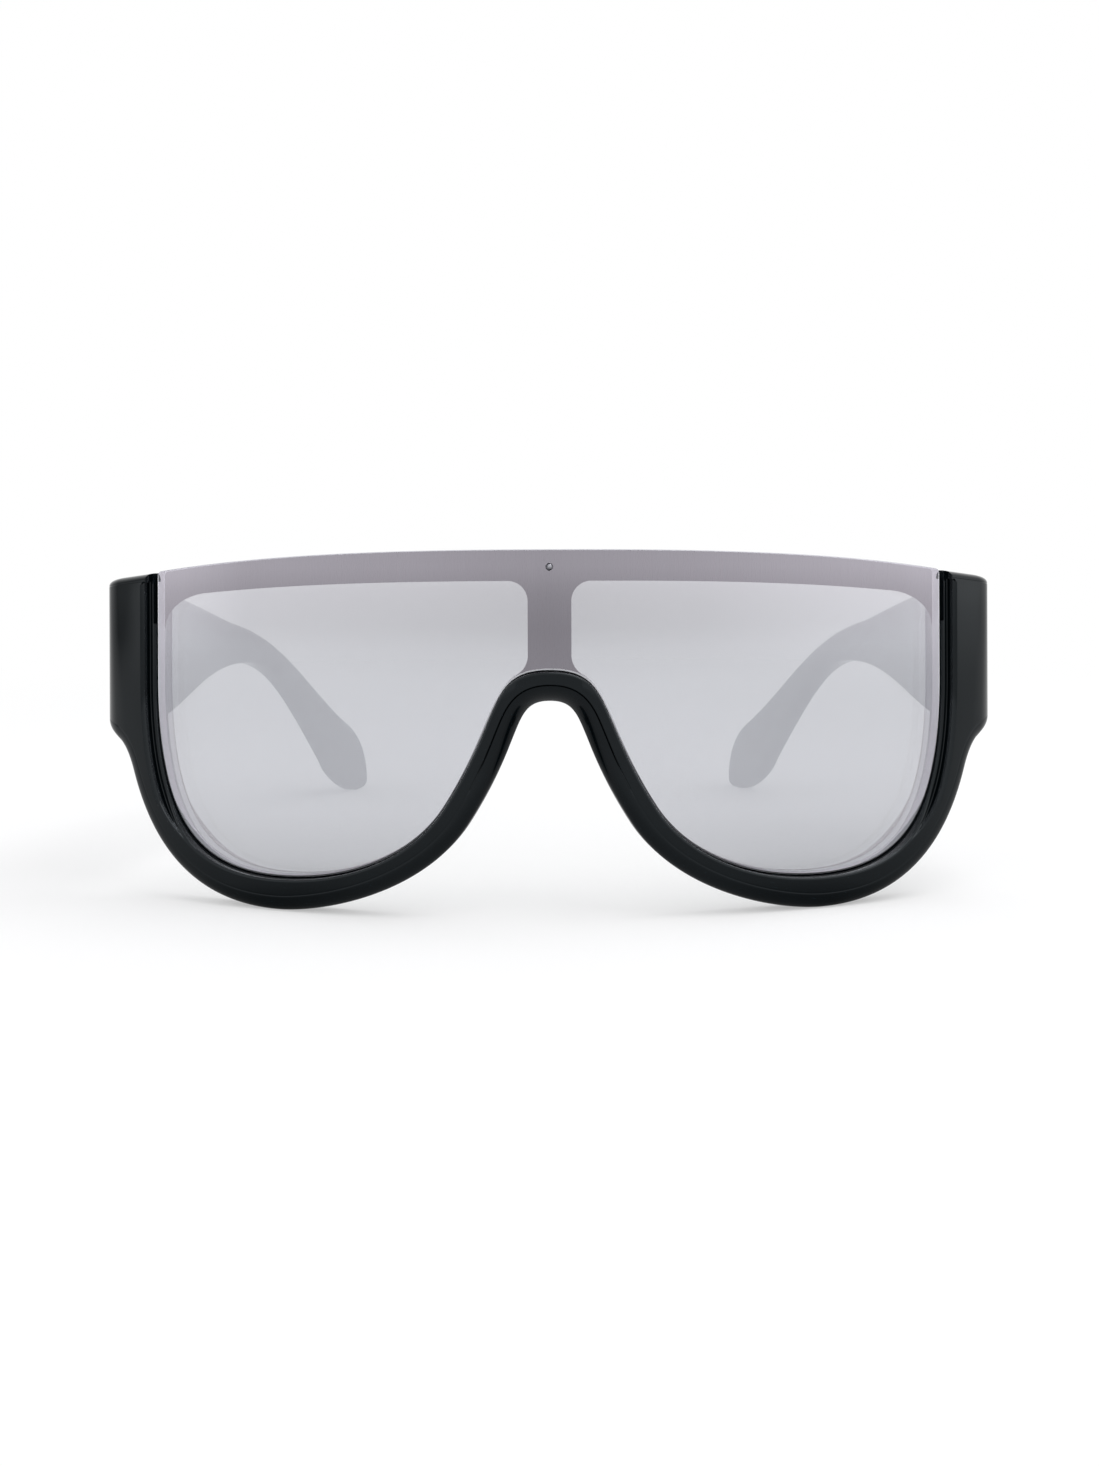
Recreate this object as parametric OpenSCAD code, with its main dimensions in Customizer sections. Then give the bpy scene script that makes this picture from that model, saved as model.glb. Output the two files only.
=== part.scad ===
// Flat-top mask sunglasses: one mirrored shield lens laid over a T-shaped front with a deep black rim.
// Millimetres, +Z up. The ground is z = 0, the middle of the nose is x = 0, and the wearer looks along -Y.

/* [Lens] */
// Radius of the lens's front face, seen from above
lens_radius = 122; // [114:1:132]
// Half the lens's width, measured along its curve
lens_half_w = 69.6; // [67:0.1:72]
// Thickness of the lens
lens_t = 1.6; // [1.2:0.1:2]
// Height of the top edge over the ground, at the middle
top_h = 58; // [56:0.1:61]
// Fall of the top edge from the middle to the lens's ends
top_fall = 3.65; // [2:0.05:5]
// How late the top edge falls: 2 is a parabola, and more keeps its middle flatter
top_power = 2.5; // [2:0.1:3.5]
// Radius of the lens's top corners
lens_corner_r = 0.8; // [0.4:0.1:1.4]
// Height of the lens's edge over the nose arch
arch_h = 39; // [36:0.1:41]
// Distance of the nose flank's foot from the centre line
flank_u = 16.7; // [15:0.1:18]
// Height of the nose flank's foot
flank_h = 17.3; // [16:0.1:19]
// Slope of the nose flank there, in degrees
flank_slope = 57; // [54:1:60]
// Distance of the lens's lowest point from the centre line
low_u = 44.6; // [41:0.1:48]
// Height at which the lens's sides turn straight
side_h = 36.4; // [34:0.1:40]

/* [Rim] */
// Width of the rim under the lens
rim_bottom_w = 5.25; // [4:0.05:7]
// Width of the rim over the nose
rim_arch_w = 4.95; // [4.4:0.05:5.6]
// Width of the rim at the nose flank
rim_flank_w = 4.6; // [4:0.1:5.4]
// Width of the rim at the shoulder, where the end piece starts
shoulder_w = 4.9; // [4.4:0.1:5.8]
// Height of the shoulder
shoulder_h = 20.4; // [19:0.1:22]
// Slope of the rim at the shoulder, in degrees
shoulder_slope = 69.8; // [66:0.1:74]
// How far the rim stands ahead of the lens
rim_proud = 1.9; // [1.4:0.1:2.4]
// Width of the ledge that the lens lies on
ledge_w = 0.3; // [0.2:0.1:1]
// Thickness of the ledge, the brow bar and the post
ledge_t = 1.8; // [1.5:0.1:2.4]
// Gap round the lens
lens_gap = 0.15; // [0.1:0.01:0.25]
// Extra gap beside the lens's top corners
notch_gap = 0.35; // [0.2:0.05:0.6]
// Height of that wider gap
notch_h = 8.5; // [6:0.5:12]
// Width of the bevel along the rim's inner edge
bevel = 0.4; // [0.2:0.1:0.7]
// Width of the low bezel between the lens's side and the rim
bezel_w = 0.85; // [0.6:0.05:1.1]
// How far that bezel stands ahead of the lens
bezel_proud = 0.5; // [0.3:0.1:0.8]
// Depth of the groove beside the bezel
groove_d = 0.3; // [0.1:0.1:0.5]
// Step along the crest of the rim round the nose
nose_step = 0.25; // [0.1:0.05:0.4]
// Width of the rounding along the rim's outer edge
rim_round_w = 2.4; // [1.6:0.1:2.8]
// Depth of that rounding
rim_round_d = 1.7; // [1:0.1:2.2]
// Rounding of the back edges
back_round = 0.6; // [0.3:0.1:0.9]

/* [Brow bar and post] */
// Height of the brow bar behind the lens
bar_h = 5; // [4:0.1:6.5]
// How much lower the bar is at the lens's ends
bar_taper = 0.5; // [0:0.1:1]
// Width of the post between the windows
post_w = 7; // [5.5:0.1:9]
// Corner radius of the windows beside the post
window_in_r = 3.2; // [2:0.1:4]
// Corner radius of the windows beside the end pieces
window_out_r = 5; // [3:0.1:7]
// Width and height of the post's flare onto the nose arch
flare = [1.7, 2.3];
// How much the windows widen towards the back, at their outer ends
window_draft = 1.5; // [0:0.1:1.8]

/* [End pieces] */
// Distance from the lens's side to the start of the end piece's turn
turn_start = 7.6; // [7:0.1:8]
// Radius of the turn, halfway through the wall
turn_r = 4.2; // [4:0.1:5]
// Straight run between the turn and the temple
end_run = 1.6; // [1.2:0.1:3]
// Height of the end piece's lower edge
end_low = 26.8; // [26:0.1:28]
// Step down from the lens's top corner to the end piece
end_step = 0.5; // [0.2:0.1:0.8]
// Slope of the end piece's top edge
end_slope = 0.15; // [0.1:0.01:0.2]

/* [Temples] */
// Length of the temple along its straight line, to the tip
temple_run = 115.2; // [108:0.1:122]
// Inward angle of the temples
toe_in = 6.5; // [4:0.5:8]
// Radius of the temple's bow, seen from above
bow_r = 380; // [320:5:460]
// Straight length before the bow
bow_start = 12; // [12:0.5:20]
// Thickness at the tip
tip_t = 3; // [2.6:0.1:4]
// Rounding of the temple's edges
temple_round = 1.1; // [0.6:0.1:1.4]
// Narrowest place of the temple's upper edge, from the joint
neck_run = 47.2; // [43:0.1:51]
// How much further back the lower edge is highest
neck_shift = 3.2; // [0:0.1:5]
// Height of the temple's lower edge there
neck_low = 34.4; // [33:0.1:36]
// Height of the temple's upper edge there
neck_top = 42.9; // [41.5:0.1:45]
// Gap between the end piece and the temple
joint_gap = 0.25; // [0.2:0.01:0.4]

/* [Hinges] */
// Height of the hinge's middle over the middle of the joint
hinge_rise = 1.2; // [0:0.1:2.5]
// Distance of the hinge axis from the temple's inner face
hinge_in = 1.9; // [1.8:0.1:2.3]
// Outer diameter of the hinge barrels
barrel_d = 3.2; // [2.8:0.1:3.3]
// Height of one barrel, with its gap
barrel_pitch = 1.6; // [1.4:0.1:2]
// Gap between two barrels
barrel_gap = 0.1; // [0.05:0.01:0.15]
// Diameter of the hinge screw
screw_d = 1.4; // [1.2:0.1:1.6]
// Clearance round the screw
screw_gap = 0.04; // [0.02:0.01:0.06]
// Diameter of the screw's head
screw_head_d = 2.3; // [2:0.1:2.6]
// Height of the screw's head
screw_head_h = 0.6; // [0.4:0.1:0.8]
// Thickness of the hinge leaves
leaf_t = 1; // [0.8:0.1:1.2]
// Length of the leaf in the front
front_leaf_l = 5.6; // [5:0.1:6]
// Length of the leaf in the temple
temple_leaf_l = 9.5; // [8:0.1:10]
// Gap round each leaf in its pocket
leaf_gap = 0.03; // [0.02:0.01:0.05]
// Depth of the anchors behind the leaves
anchor_depth = 1.2; // [0.8:0.1:1.4]

/* [Small parts] */
// Diameter of the pin that holds the lens
pin_d = 1; // [0.9:0.05:1.2]
// Distance of the pin from the lens's top edge
pin_drop = 2.75; // [2.2:0.05:3]
// Gap between the pin and the lens's hole
pin_gap = 0.1; // [0.05:0.01:0.15]
// Width of the wire core in each temple
core_w = 2.4; // [1.8:0.1:2.8]
// Thickness of the wire core
core_t = 1.2; // [1:0.1:1.4]
// Length of the wire core
core_run = 99; // [90:0.5:102]
// Gap round the wire core
core_gap = 0.03; // [0.02:0.01:0.05]
// Height of the nose pads' middle
pad_h = 26; // [24:0.5:28]
// Length of the nose pads
pad_l = 11; // [9:0.5:12]
// Width of the nose pads
pad_w = 3.2; // [2.8:0.1:3.6]
// How far the nose pads reach back from the rim
pad_reach = 5.5; // [4:0.1:7]
// How far the pads lean away from the nose, over that reach
pad_splay = 0.9; // [0.5:0.1:1.5]

/* [Hidden] */

black = [0.05, 0.055, 0.06];
silver = [0.74, 0.74, 0.79, 0.6];
steel = [0.72, 0.72, 0.74];

// Turn of the front, seen from above: an arc on the lens's radius, the end piece's turn, a straight run
front_t = rim_proud + lens_t + ledge_t;
back_w = -lens_t - ledge_t;
turn_u = lens_half_w + turn_start;
turn_from = turn_u / lens_radius * 180 / PI;
turn_angle = 90 + toe_in - turn_from;
turn_l = turn_r * turn_angle * PI / 180;
end_u = turn_u + turn_l + end_run;

// The outward normal and the direction of travel at an angle of the front's turn
function outward(a) = [sin(a), -cos(a)];
function along(a) = [cos(a), sin(a)];

// Angle of the front at distance u from the middle, measured along the lens's curve
function front_angle(u) = min(u, turn_u) / lens_radius * 180 / PI
    + min(max(u - turn_u, 0), turn_l) / turn_r * 180 / PI;

// The front's plan point at distance u, from 0 to end_u, moved outward by w, before the shift to front_y
function plan(u, w) = let (a0 = min(u, turn_u) / lens_radius * 180 / PI, a = front_angle(u))
    [0, rim_proud + lens_radius] + (lens_radius - (u > turn_u ? turn_r : 0)) * outward(a0)
    + (u > turn_u ? turn_r * outward(a) : [0, 0])
    + max(u - turn_u - turn_l, 0) * along(a) + w * outward(a);

// The temple's line, seen from above
joint_plan = plan(end_u, back_w) + joint_gap * along(90 + toe_in);
bow_tip = pow(temple_run - bow_start, 2) / 2 / bow_r;
depth = joint_plan.y + temple_run * cos(toe_in) - (bow_tip - tip_t) * sin(toe_in);
front_y = -depth / 2;

// A point of the front: distance along the curve, height, and distance ahead of the lens's front face
function front_point(p) = let (q = plan(abs(p[0]), p[2])) [sign(p[0]) * q.x, front_y + q.y, p[1]];

// A point of the right temple: distance from the joint, height, and share of its thickness
function bow(s) = pow(max(s - bow_start, 0), 2) / 2 / bow_r;
function temple_t(s) = front_t + (tip_t - front_t) * max(s, 0) / temple_run;
function temple_point(p) = let (q = joint_plan + p[0] * along(90 + toe_in)
    + (p[2] * temple_t(p[0]) - bow(p[0])) * outward(90 + toe_in)) [q.x, front_y + q.y, p[1]];

// Curves: a cubic span without its last point, a point's left-hand normal, a path moved to its left
function span(a, b, c, d, n) = [for (i = [0:n - 1]) let (t = i / n, s = 1 - t)
    s * s * s * a + 3 * s * s * t * b + 3 * s * t * t * c + t * t * t * d];
function normal(path, i) = let (n = len(path) - 1,
    t = path[min(i + 1, n)] - path[max(i - 1, 0)]) [-t.y, t.x] / norm(t);
function moved(path, d) = [for (i = [0:len(path) - 1]) path[i] + d * normal(path, i)];
function both_sides(half) = concat([for (i = [len(half) - 1:-1:1]) [-half[i].x, half[i].y]], half);
function smooth(t) = let (c = min(max(t, 0), 1)) c * c * (3 - 2 * c);
function raised(path, w) = [for (p = path) [p.x, p.y, w]];

// Height of the top edge at distance u: the lens's own edge, and the end piece's behind its step
function top_z(u) = top_h - top_fall * pow(abs(u) / lens_half_w, top_power);
function end_top(u) = top_z(lens_half_w) - end_step - end_slope * (u - lens_half_w);
joint_top = end_top(end_u);
hinge_h = (end_low + joint_top) / 2 + hinge_rise;

// Lower edge of the lens, from the nose to the side. Each pull is the reach of a curve's two handles.
lens_arch_pull = [10.1, 17.2];
lens_flank_pull = [6.6, 16];
lens_side_pull = [18.6, 20.5];
low_point = [low_u, rim_bottom_w];
flank_point = [flank_u, flank_h];
flank_dir = [cos(flank_slope), -sin(flank_slope)];
side_point = [lens_half_w, side_h];
lens_low = concat(
    span([0, arch_h], [lens_arch_pull[0], arch_h],
        flank_point - lens_arch_pull[1] * flank_dir, flank_point, 11),
    span(flank_point, flank_point + lens_flank_pull[0] * flank_dir,
        low_point - [lens_flank_pull[1], 0], low_point, 11),
    span(low_point, low_point + [lens_side_pull[0], 0], side_point - [0, lens_side_pull[1]], side_point, 14),
    [side_point]);

// Outer edge of the rim, from the nose opening to the end piece's joint face
rim_arch_pull = [6.2, 16.4];
rim_flank_pull = [14, 6.7];
rim_shoulder_pull = [6, 20.9];
rim_end_pull = [4.7, 4.1];
end_flat = 1;
rim_arch = [0, arch_h - rim_arch_w];
rim_flank = flank_point - rim_flank_w * [sin(flank_slope), cos(flank_slope)];
rim_sole = [low_u, 0];
shoulder = [lens_half_w + shoulder_w, shoulder_h];
shoulder_dir = [cos(shoulder_slope), sin(shoulder_slope)];
end_corner = [end_u - end_flat, end_low];
rim_low = concat(
    span(rim_arch, rim_arch + [rim_arch_pull[0], 0], rim_flank - rim_arch_pull[1] * flank_dir, rim_flank, 11),
    span(rim_flank, rim_flank + rim_flank_pull[0] * flank_dir,
        rim_sole - [rim_flank_pull[1], 0], rim_sole, 13),
    span(rim_sole, rim_sole + [rim_shoulder_pull[0], 0],
        shoulder - rim_shoulder_pull[1] * shoulder_dir, shoulder, 14),
    span(shoulder, shoulder + rim_end_pull[0] * shoulder_dir,
        end_corner - [rim_end_pull[1], 0], end_corner, 8),
    [end_corner, [end_u, end_low]]);
rim_top = [for (p = rim_low) [p.x, p.x > lens_half_w ? end_top(p.x) : top_z(p.x)]];

// Lower and upper edges of the right window, inside the ledge
window_in = post_w / 2;
window_out = lens_half_w - ledge_w;
ledge_low = moved(lens_low, ledge_w);
window_steps = 34;
function bar_low(u) = bar_h - bar_taper * pow(u / lens_half_w, 2);
function window_u(i) = window_in + (window_out - window_in) * (1 - cos(180 * i / window_steps)) / 2;
function round_off(x, r) = x >= r ? 0 : r - sqrt(max(r * r - pow(r - x, 2), 0));
function post_flare(u) = let (t = (window_in + flare[0] - u) / flare[0])
    t <= 0 ? 0 : flare[1] * (1 - sqrt(max(1 - t * t, 0)));
window_low = [for (i = [0:window_steps]) let (u = window_u(i))
    [u, lookup(min(u, window_out - 0.001), ledge_low) + post_flare(u)]];
function corners(u) = round_off(u - window_in, window_in_r) + round_off(window_out - u, window_out_r);
window_top = [for (i = [0:window_steps]) let (u = window_u(i)) [u, top_z(u) - bar_low(u) - corners(u)]];

// A bent slab: each level holds a lower and an upper path, and the levels run from the back to the front
function quad(a, b, c, d) = [[a, b, c], [a, c, d]];
module slab(levels, bend) {
    n = len(levels[0][0]);
    last = len(levels) - 1;
    function low(k, i) = 2 * n * k + i;
    function top(k, i) = 2 * n * k + n + i;
    points = [for (level = levels) for (path = level) for (p = path) bend(p)];
    caps = [for (i = [0:n - 2]) each concat(
        quad(low(last, i), top(last, i), top(last, i + 1), low(last, i + 1)),
        quad(low(0, i), low(0, i + 1), top(0, i + 1), top(0, i)))];
    walls = [for (k = [0:last - 1]) for (i = [0:n - 2]) each concat(
        quad(low(k + 1, i), low(k + 1, i + 1), low(k, i + 1), low(k, i)),
        quad(top(k + 1, i + 1), top(k + 1, i), top(k, i), top(k, i + 1)))];
    ends = [for (k = [0:last - 1]) each concat(
        quad(top(k + 1, 0), low(k + 1, 0), low(k, 0), top(k, 0)),
        quad(low(k + 1, n - 1), top(k + 1, n - 1), top(k, n - 1), low(k, n - 1)))];
    polyhedron(points = points, faces = concat(caps, walls, ends), convexity = 12);
}

// The front without its openings. Its outer front edge is rounded. Round the nose the rounding is longer and
// flatter, and starts at a small step along the crest.
round_steps = 5;
nose_round_w = 2.6;
nose_round_d = 3.4;
nose_flat = 0.6;
crest_w = 0.12;
crest_d = 0.03;
top_round_share = 0.45;
function rounding(u, at_nose, at_rim) = at_nose + (at_rim - at_nose) * smooth((abs(u) - 4) / 9);
function near_nose(u) = 1 - smooth((abs(u) - 6) / 5);
function turn_in(a, u) = let (m = nose_flat * near_nose(u)) (1 - m) * (1 - cos(a)) + m * a / 90;
function turn_back(a, u) = let (m = nose_flat * near_nose(u)) (1 - m) * (1 - sin(a)) + m * (1 - a / 90);
function front_level(a, crest = 0) = let (low = both_sides(rim_low), top = both_sides(rim_top)) [
    [for (i = [0:len(low) - 1]) let (u = low[i].x, step = (1 - crest) * (crest_d + nose_step * near_nose(u)),
        in = rounding(u, nose_round_w, rim_round_w) * turn_in(a, u) + crest * crest_w,
        p = low[i] + in * normal(low, i))
        [p.x, p.y, rim_proud - step - (rounding(u, nose_round_d, rim_round_d) - step) * turn_back(a, u)]],
    [for (p = top) [p.x, p.y - top_round_share * rim_round_w * (1 - cos(a)) - crest * crest_w,
        rim_proud - (1 - crest) * crest_d - (rim_round_d - crest_d) * (1 - sin(a))]]];
function back_level(a) = let (low = both_sides(rim_low), top = both_sides(rim_top),
    d = back_round * (1 - cos(a)), w = back_w + back_round * (1 - sin(a)))
    [raised(moved(low, d), w), raised([for (p = top) [p.x, p.y - d]], w)];
module front_body() {
    slab(concat([for (a = [90, 45, 0]) back_level(a)],
        [for (i = [0:round_steps]) front_level(90 * i / round_steps)], [front_level(90, 1)]),
        function(p) front_point(p));
}

// The space for the lens, open at the top. Its mouth has a bevel, and beside the lens a bezel and a groove.
// Each step of the mouth is [distance from the lens's edge, distance ahead of its face]
mouth_top = rim_proud + 1;
groove_u = lens_gap + bezel_w;
mouth_at_rim = [[lens_gap, -lens_t], [lens_gap, rim_proud - bevel],
    for (share = [0.2, 0.35, 0.5, 0.65, 0.85]) [lens_gap + share * bevel, rim_proud - bevel * (1 - share)],
    [lens_gap + bevel, rim_proud], [lens_gap + bevel + 1, mouth_top]];
mouth_at_side = [[lens_gap, -lens_t], [lens_gap, bezel_proud - 0.2], [lens_gap + 0.1, bezel_proud - 0.08],
    [groove_u, bezel_proud], [groove_u + 0.15, bezel_proud - groove_d],
    [groove_u + 0.5, bezel_proud - groove_d], [groove_u + 0.75, rim_proud - 0.6],
    [groove_u + 1.3, rim_proud], [groove_u + 2.3, mouth_top]];
function beside(p) = abs(p.x) < low_u ? 0 : smooth((p.y - 9) / 9);
function mouth(p, k) = let (s = beside(p)) (1 - s) * mouth_at_rim[k] + s * mouth_at_side[k];
module lens_recess() {
    over = 6;
    low = both_sides(lens_low);
    function edge(k) = [for (i = [0:len(low) - 1])
        let (m = mouth(low[i], k), p = low[i] - m[0] * normal(low, i)) [p.x, p.y, m[1]]];
    function level(k) = [edge(k), [for (p = edge(k)) [p.x, top_h + over, p[2]]]];
    slab([for (k = [0:len(mouth_at_rim) - 1]) level(k)], function(p) front_point(p));
}

// One window, from behind the frame into the lens's space. Its outer end widens towards the back.
module window_cut() {
    function wide_low(d) = [for (i = [0:window_steps]) let (p = window_low[i])
        p - d * smooth((p.x - 25) / 30) * normal(window_low, i)];
    function wide_top(d) = [for (p = window_top) [p.x + d * smooth((p.x - 55) / 12), p.y]];
    slab([for (row = [[back_w - 1, window_draft], [0.2 - lens_t, 0], [0, 0]])
        [raised(wide_low(row[1]), row[0]), raised(wide_top(row[1]), row[0])]], function(p) front_point(p));
}

// Places things on the front, +X along its curve and +Y to the back, or on the right temple's inner face
module at_front(u, h) translate(front_point([u, h, 0])) rotate([0, 0, front_angle(u)]) children();
module at_temple(h) translate([joint_plan.x, front_y + joint_plan.y, h]) rotate([0, 0, toe_in]) children();
module at_side(side) mirror([side == "left" ? 1 : 0, 0, 0]) children();

// Two anchors behind a leaf: slots in the plastic, tongues on the hinge
anchor_d = 1.4;
anchor_l = 1.6;
anchor_from_middle = 2.4;
module anchor(gap, depth) {
    for (z = [-anchor_from_middle, anchor_from_middle]) hull() {
        for (x = [-anchor_l / 2, anchor_l / 2])
            translate([x, 0, z]) rotate([90, 0, 0])
                cylinder(d = anchor_d + 2 * gap, h = depth + gap, $fn = 20);
    }
}

// The leaf's box on the front's back face, with its anchors
leaf_h = 5 * barrel_pitch - barrel_gap;
front_leaf_u = turn_u - front_leaf_l / 2;
module front_leaf(gap) {
    at_front(front_leaf_u, hinge_h) {
        translate([-front_leaf_l / 2 - gap, -back_w - leaf_t - gap, -leaf_h / 2 - gap])
            cube([front_leaf_l + 2 * gap, leaf_t + gap + (gap > 0 ? 1 : 0), leaf_h + 2 * gap]);
        translate([0, -back_w - leaf_t / 2, 0]) anchor(gap, leaf_t / 2 + anchor_depth);
    }
}

// The wider gap beside the lens's top corner, with a round lower end
module corner_notch() {
    u = lens_half_w + (lens_gap + notch_gap) / 2;
    r = (lens_gap + notch_gap) / 2;
    h = top_z(lens_half_w) - notch_h;
    at_front(u, 0) hull() {
        for (z = [h, top_h + 2])
            translate([0, -rim_proud - 1, z]) rotate([-90, 0, 0])
                cylinder(r = r, h = rim_proud + 1 + lens_t, $fn = 16);
    }
}

// The nose pads' seats lie on the back of the rim, beside the nose opening
pad_edge_gap = 0.5;
pad_foot = 0.8;
pad_sink = 0.3;
nose_side = [for (i = [20:-1:0]) [rim_low[i].y, rim_low[i].x]];
pad_tilt = atan((lookup(pad_h - pad_l / 2, nose_side) - lookup(pad_h + pad_l / 2, nose_side)) / pad_l);
pad_u = lookup(pad_h, nose_side) + (pad_edge_gap + pad_foot * pad_w / 2) / cos(pad_tilt);
module at_pad() at_front(pad_u, pad_h)
    translate([0, -back_w - pad_sink, 0]) rotate([0, -pad_tilt, 0]) children();

// A pad's outline, as two paths along its length, at a height over its seat and moved outward
function pad_edge(l, w, way, out) = [for (a = [-78:12:78])
    [l / 2 * sin(a), out + way * w / 2 * pow(cos(a), 0.7)]];
function pad_level(l, w, out, back) = [for (way = [-1, 1]) raised(pad_edge(l, w, way, out), back)];
module pad_loft(levels) slab(levels, function(p) [p[1], p[2], p[0]]);

module pin_bore() {
    at_front(0, top_h - pin_drop) translate([0, -rim_proud, 0]) rotate([-90, 0, 0])
        cylinder(d = pin_d + 0.04, h = rim_proud - back_w - 0.5, $fn = 24);
}

module front_frame() color(black) {
    difference() {
        front_body();
        lens_recess();
        pin_bore();
        for (side = ["left", "right"]) at_side(side) {
            window_cut();
            front_leaf(leaf_gap);
            corner_notch();
            at_pad() pad_loft([for (back = [0, pad_sink + 1])
                pad_level(pad_l + 2 * leaf_gap, pad_foot * pad_w + 2 * leaf_gap, 0, back)]);
        }
    }
}

module shield_lens() color(silver) {
    low = both_sides(lens_low);
    top = [for (p = low) [p.x, top_z(p.x) - round_off(lens_half_w - abs(p.x), lens_corner_r)]];
    difference() {
        slab([[raised(low, -lens_t), raised(top, -lens_t)], [raised(low, 0), raised(top, 0)]],
            function(p) front_point(p));
        at_front(0, top_h - pin_drop) translate([0, -1, 0]) rotate([-90, 0, 0])
            cylinder(d = pin_d + 2 * pin_gap, h = lens_t + 2, $fn = 32);
    }
}

module lens_pin() color(steel) {
    dome = 0.3;
    shank = lens_t + ledge_t - 0.55;
    cap_r = (pow(pin_d / 2, 2) + dome * dome) / 2 / dome;
    at_front(0, top_h - pin_drop) rotate([90, 0, 0]) translate([0, 0, -shank]) {
        cylinder(d = pin_d, h = shank, $fn = 32);
        intersection() {
            translate([0, 0, shank + dome - cap_r]) sphere(r = cap_r, $fn = 32);
            translate([0, 0, shank - 0.1]) cylinder(d = pin_d, h = dome + 0.2, $fn = 32);
        }
    }
}

// A pad on the right flank: a narrow foot in the rim, a bulge beside the nose, and a rounded ridge behind it
module nose_pad() color(black) {
    foot_h = 0.6;
    swept = pad_reach + pad_sink;
    steps = 7;
    at_pad() pad_loft(concat([pad_level(pad_l, pad_foot * pad_w, 0, 0)],
        [for (i = [0:steps]) let (t = i / steps, thin = sqrt(1 - 0.93 * pow(t, 3)),
            full = pad_foot + (1 - pad_foot) * smooth(2.5 * t))
            pad_level(pad_l * (0.8 + 0.2 * thin), pad_w * full * thin * (1 - 0.2 * t),
                pad_splay * smooth(t), foot_h + (swept - foot_h) * t)]));
}

// Hinge barrels, counted from the bottom: the front holds the 1st, 3rd and 5th, the temple the 2nd and 4th
hinge_low = hinge_h - leaf_h / 2;
axis_plan = joint_plan - joint_gap / 2 * along(90 + toe_in) - hinge_in * outward(90 + toe_in);
module barrel(i, arm, gap) {
    translate([0, 0, hinge_low + i * barrel_pitch]) linear_extrude(barrel_pitch - barrel_gap)
        difference() {
            union() {
                translate(axis_plan) circle(d = barrel_d, $fn = 48);
                polygon(arm);
            }
            translate(axis_plan) circle(d = screw_d + 2 * gap, $fn = 48);
        }
}

// An arm from some points of a leaf to the two sides of the barrel
function arm(leaf) = let (way = axis_plan - leaf[0] / 2 - leaf[len(leaf) - 1] / 2,
    n = [-way.y, way.x] / norm(way) * 0.4 * barrel_d)
    concat(leaf, [axis_plan + n, axis_plan - n]);

module hinge_front() color(steel) {
    leaf_mid = back_w + leaf_t / 2;
    front_arm = arm([plan(turn_u - 0.2, leaf_mid), plan(turn_u - 3.2, leaf_mid)]);
    front_leaf(0);
    translate([0, front_y, 0]) for (i = [0, 2, 4]) barrel(i, front_arm, screw_gap);
}

leaf_from = 1.3;
function at_joint(s, w) = joint_plan + s * along(90 + toe_in) + w * outward(90 + toe_in);
module hinge_temple() color(steel) {
    temple_arm = arm([at_joint(leaf_from + 3, leaf_t / 2), at_joint(leaf_from + 0.1, leaf_t / 2),
        at_joint(leaf_from + 0.1, 0)]);
    at_temple(hinge_h) temple_leaf(0);
    translate([0, front_y, 0]) for (i = [1, 3]) barrel(i, temple_arm, screw_gap);
}

// The leaf's box in the temple's inner face, with its anchors
module temple_leaf(gap) {
    translate([gap > 0 ? -1 : 0, leaf_from - gap, -leaf_h / 2 - gap])
        cube([leaf_t + gap + (gap > 0 ? 1 : 0), temple_leaf_l + 2 * gap, leaf_h + 2 * gap]);
    translate([leaf_t / 2, leaf_from + temple_leaf_l / 2 + 1, 0]) rotate([0, 0, 90])
        anchor(gap, leaf_t / 2 + anchor_depth);
}

module hinge_screw() color(steel) {
    translate([axis_plan.x, front_y + axis_plan.y, hinge_low]) {
        cylinder(d = screw_d, h = leaf_h, $fn = 32);
        translate([0, 0, leaf_h]) difference() {
            cylinder(d = screw_head_d, h = screw_head_h, $fn = 32);
            translate([-screw_head_d, -0.15, screw_head_h - 0.25]) cube([2 * screw_head_d, 0.3, 1]);
        }
    }
}

// Upper and lower edges of the temple: straight to the neck, down behind the ear, and a paddle tip
neck_pull = [19.8, 26.7, 17.9];
neck_bend = [4.8, -4.4];
joint_pull = [21.2, -2.8];
ear_pull = [[-20.8, 11.3], [7.4, -3.6]];
ear_low_pull = [[-20.1, 20.5], [2, -3.6]];
tip_pull = [4.8, 1.4];
sole_pull = [3, 3.6];
tip = [temple_run, 2];
tip_flat = 0.3;
ear_top = [temple_run - 9.8, 16.3];
ear_low = [temple_run - 18.3, 8.1];
sole = [temple_run - 4.6, 0];
neck_up = [neck_run, neck_top];
neck_down = [neck_run + neck_shift, neck_low];
temple_top = concat(
    span([0, joint_top], [joint_pull[0], joint_top + joint_pull[1]],
        neck_up + [-neck_pull[0], neck_bend[0]], neck_up, 10),
    span(neck_up, neck_up + [neck_pull[1], neck_bend[1]], ear_top + ear_pull[0], ear_top, 14),
    span(ear_top, ear_top + ear_pull[1], tip + [0, tip_pull[0]], tip + [0, tip_flat], 9),
    [tip + [0, tip_flat]]);
temple_low = concat(
    span([0, end_low], [joint_pull[0], end_low], neck_down - [neck_pull[0], 0], neck_down, 10),
    span(neck_down, neck_down + [neck_pull[2], 0], ear_low + ear_low_pull[0], ear_low, 12),
    span(ear_low, ear_low + ear_low_pull[1], sole - [sole_pull[0], 0], sole, 6),
    span(sole, sole + [sole_pull[1], 0], tip - [0, tip_pull[1]], tip - [0, tip_flat], 5),
    [tip - [0, tip_flat]]);

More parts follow.
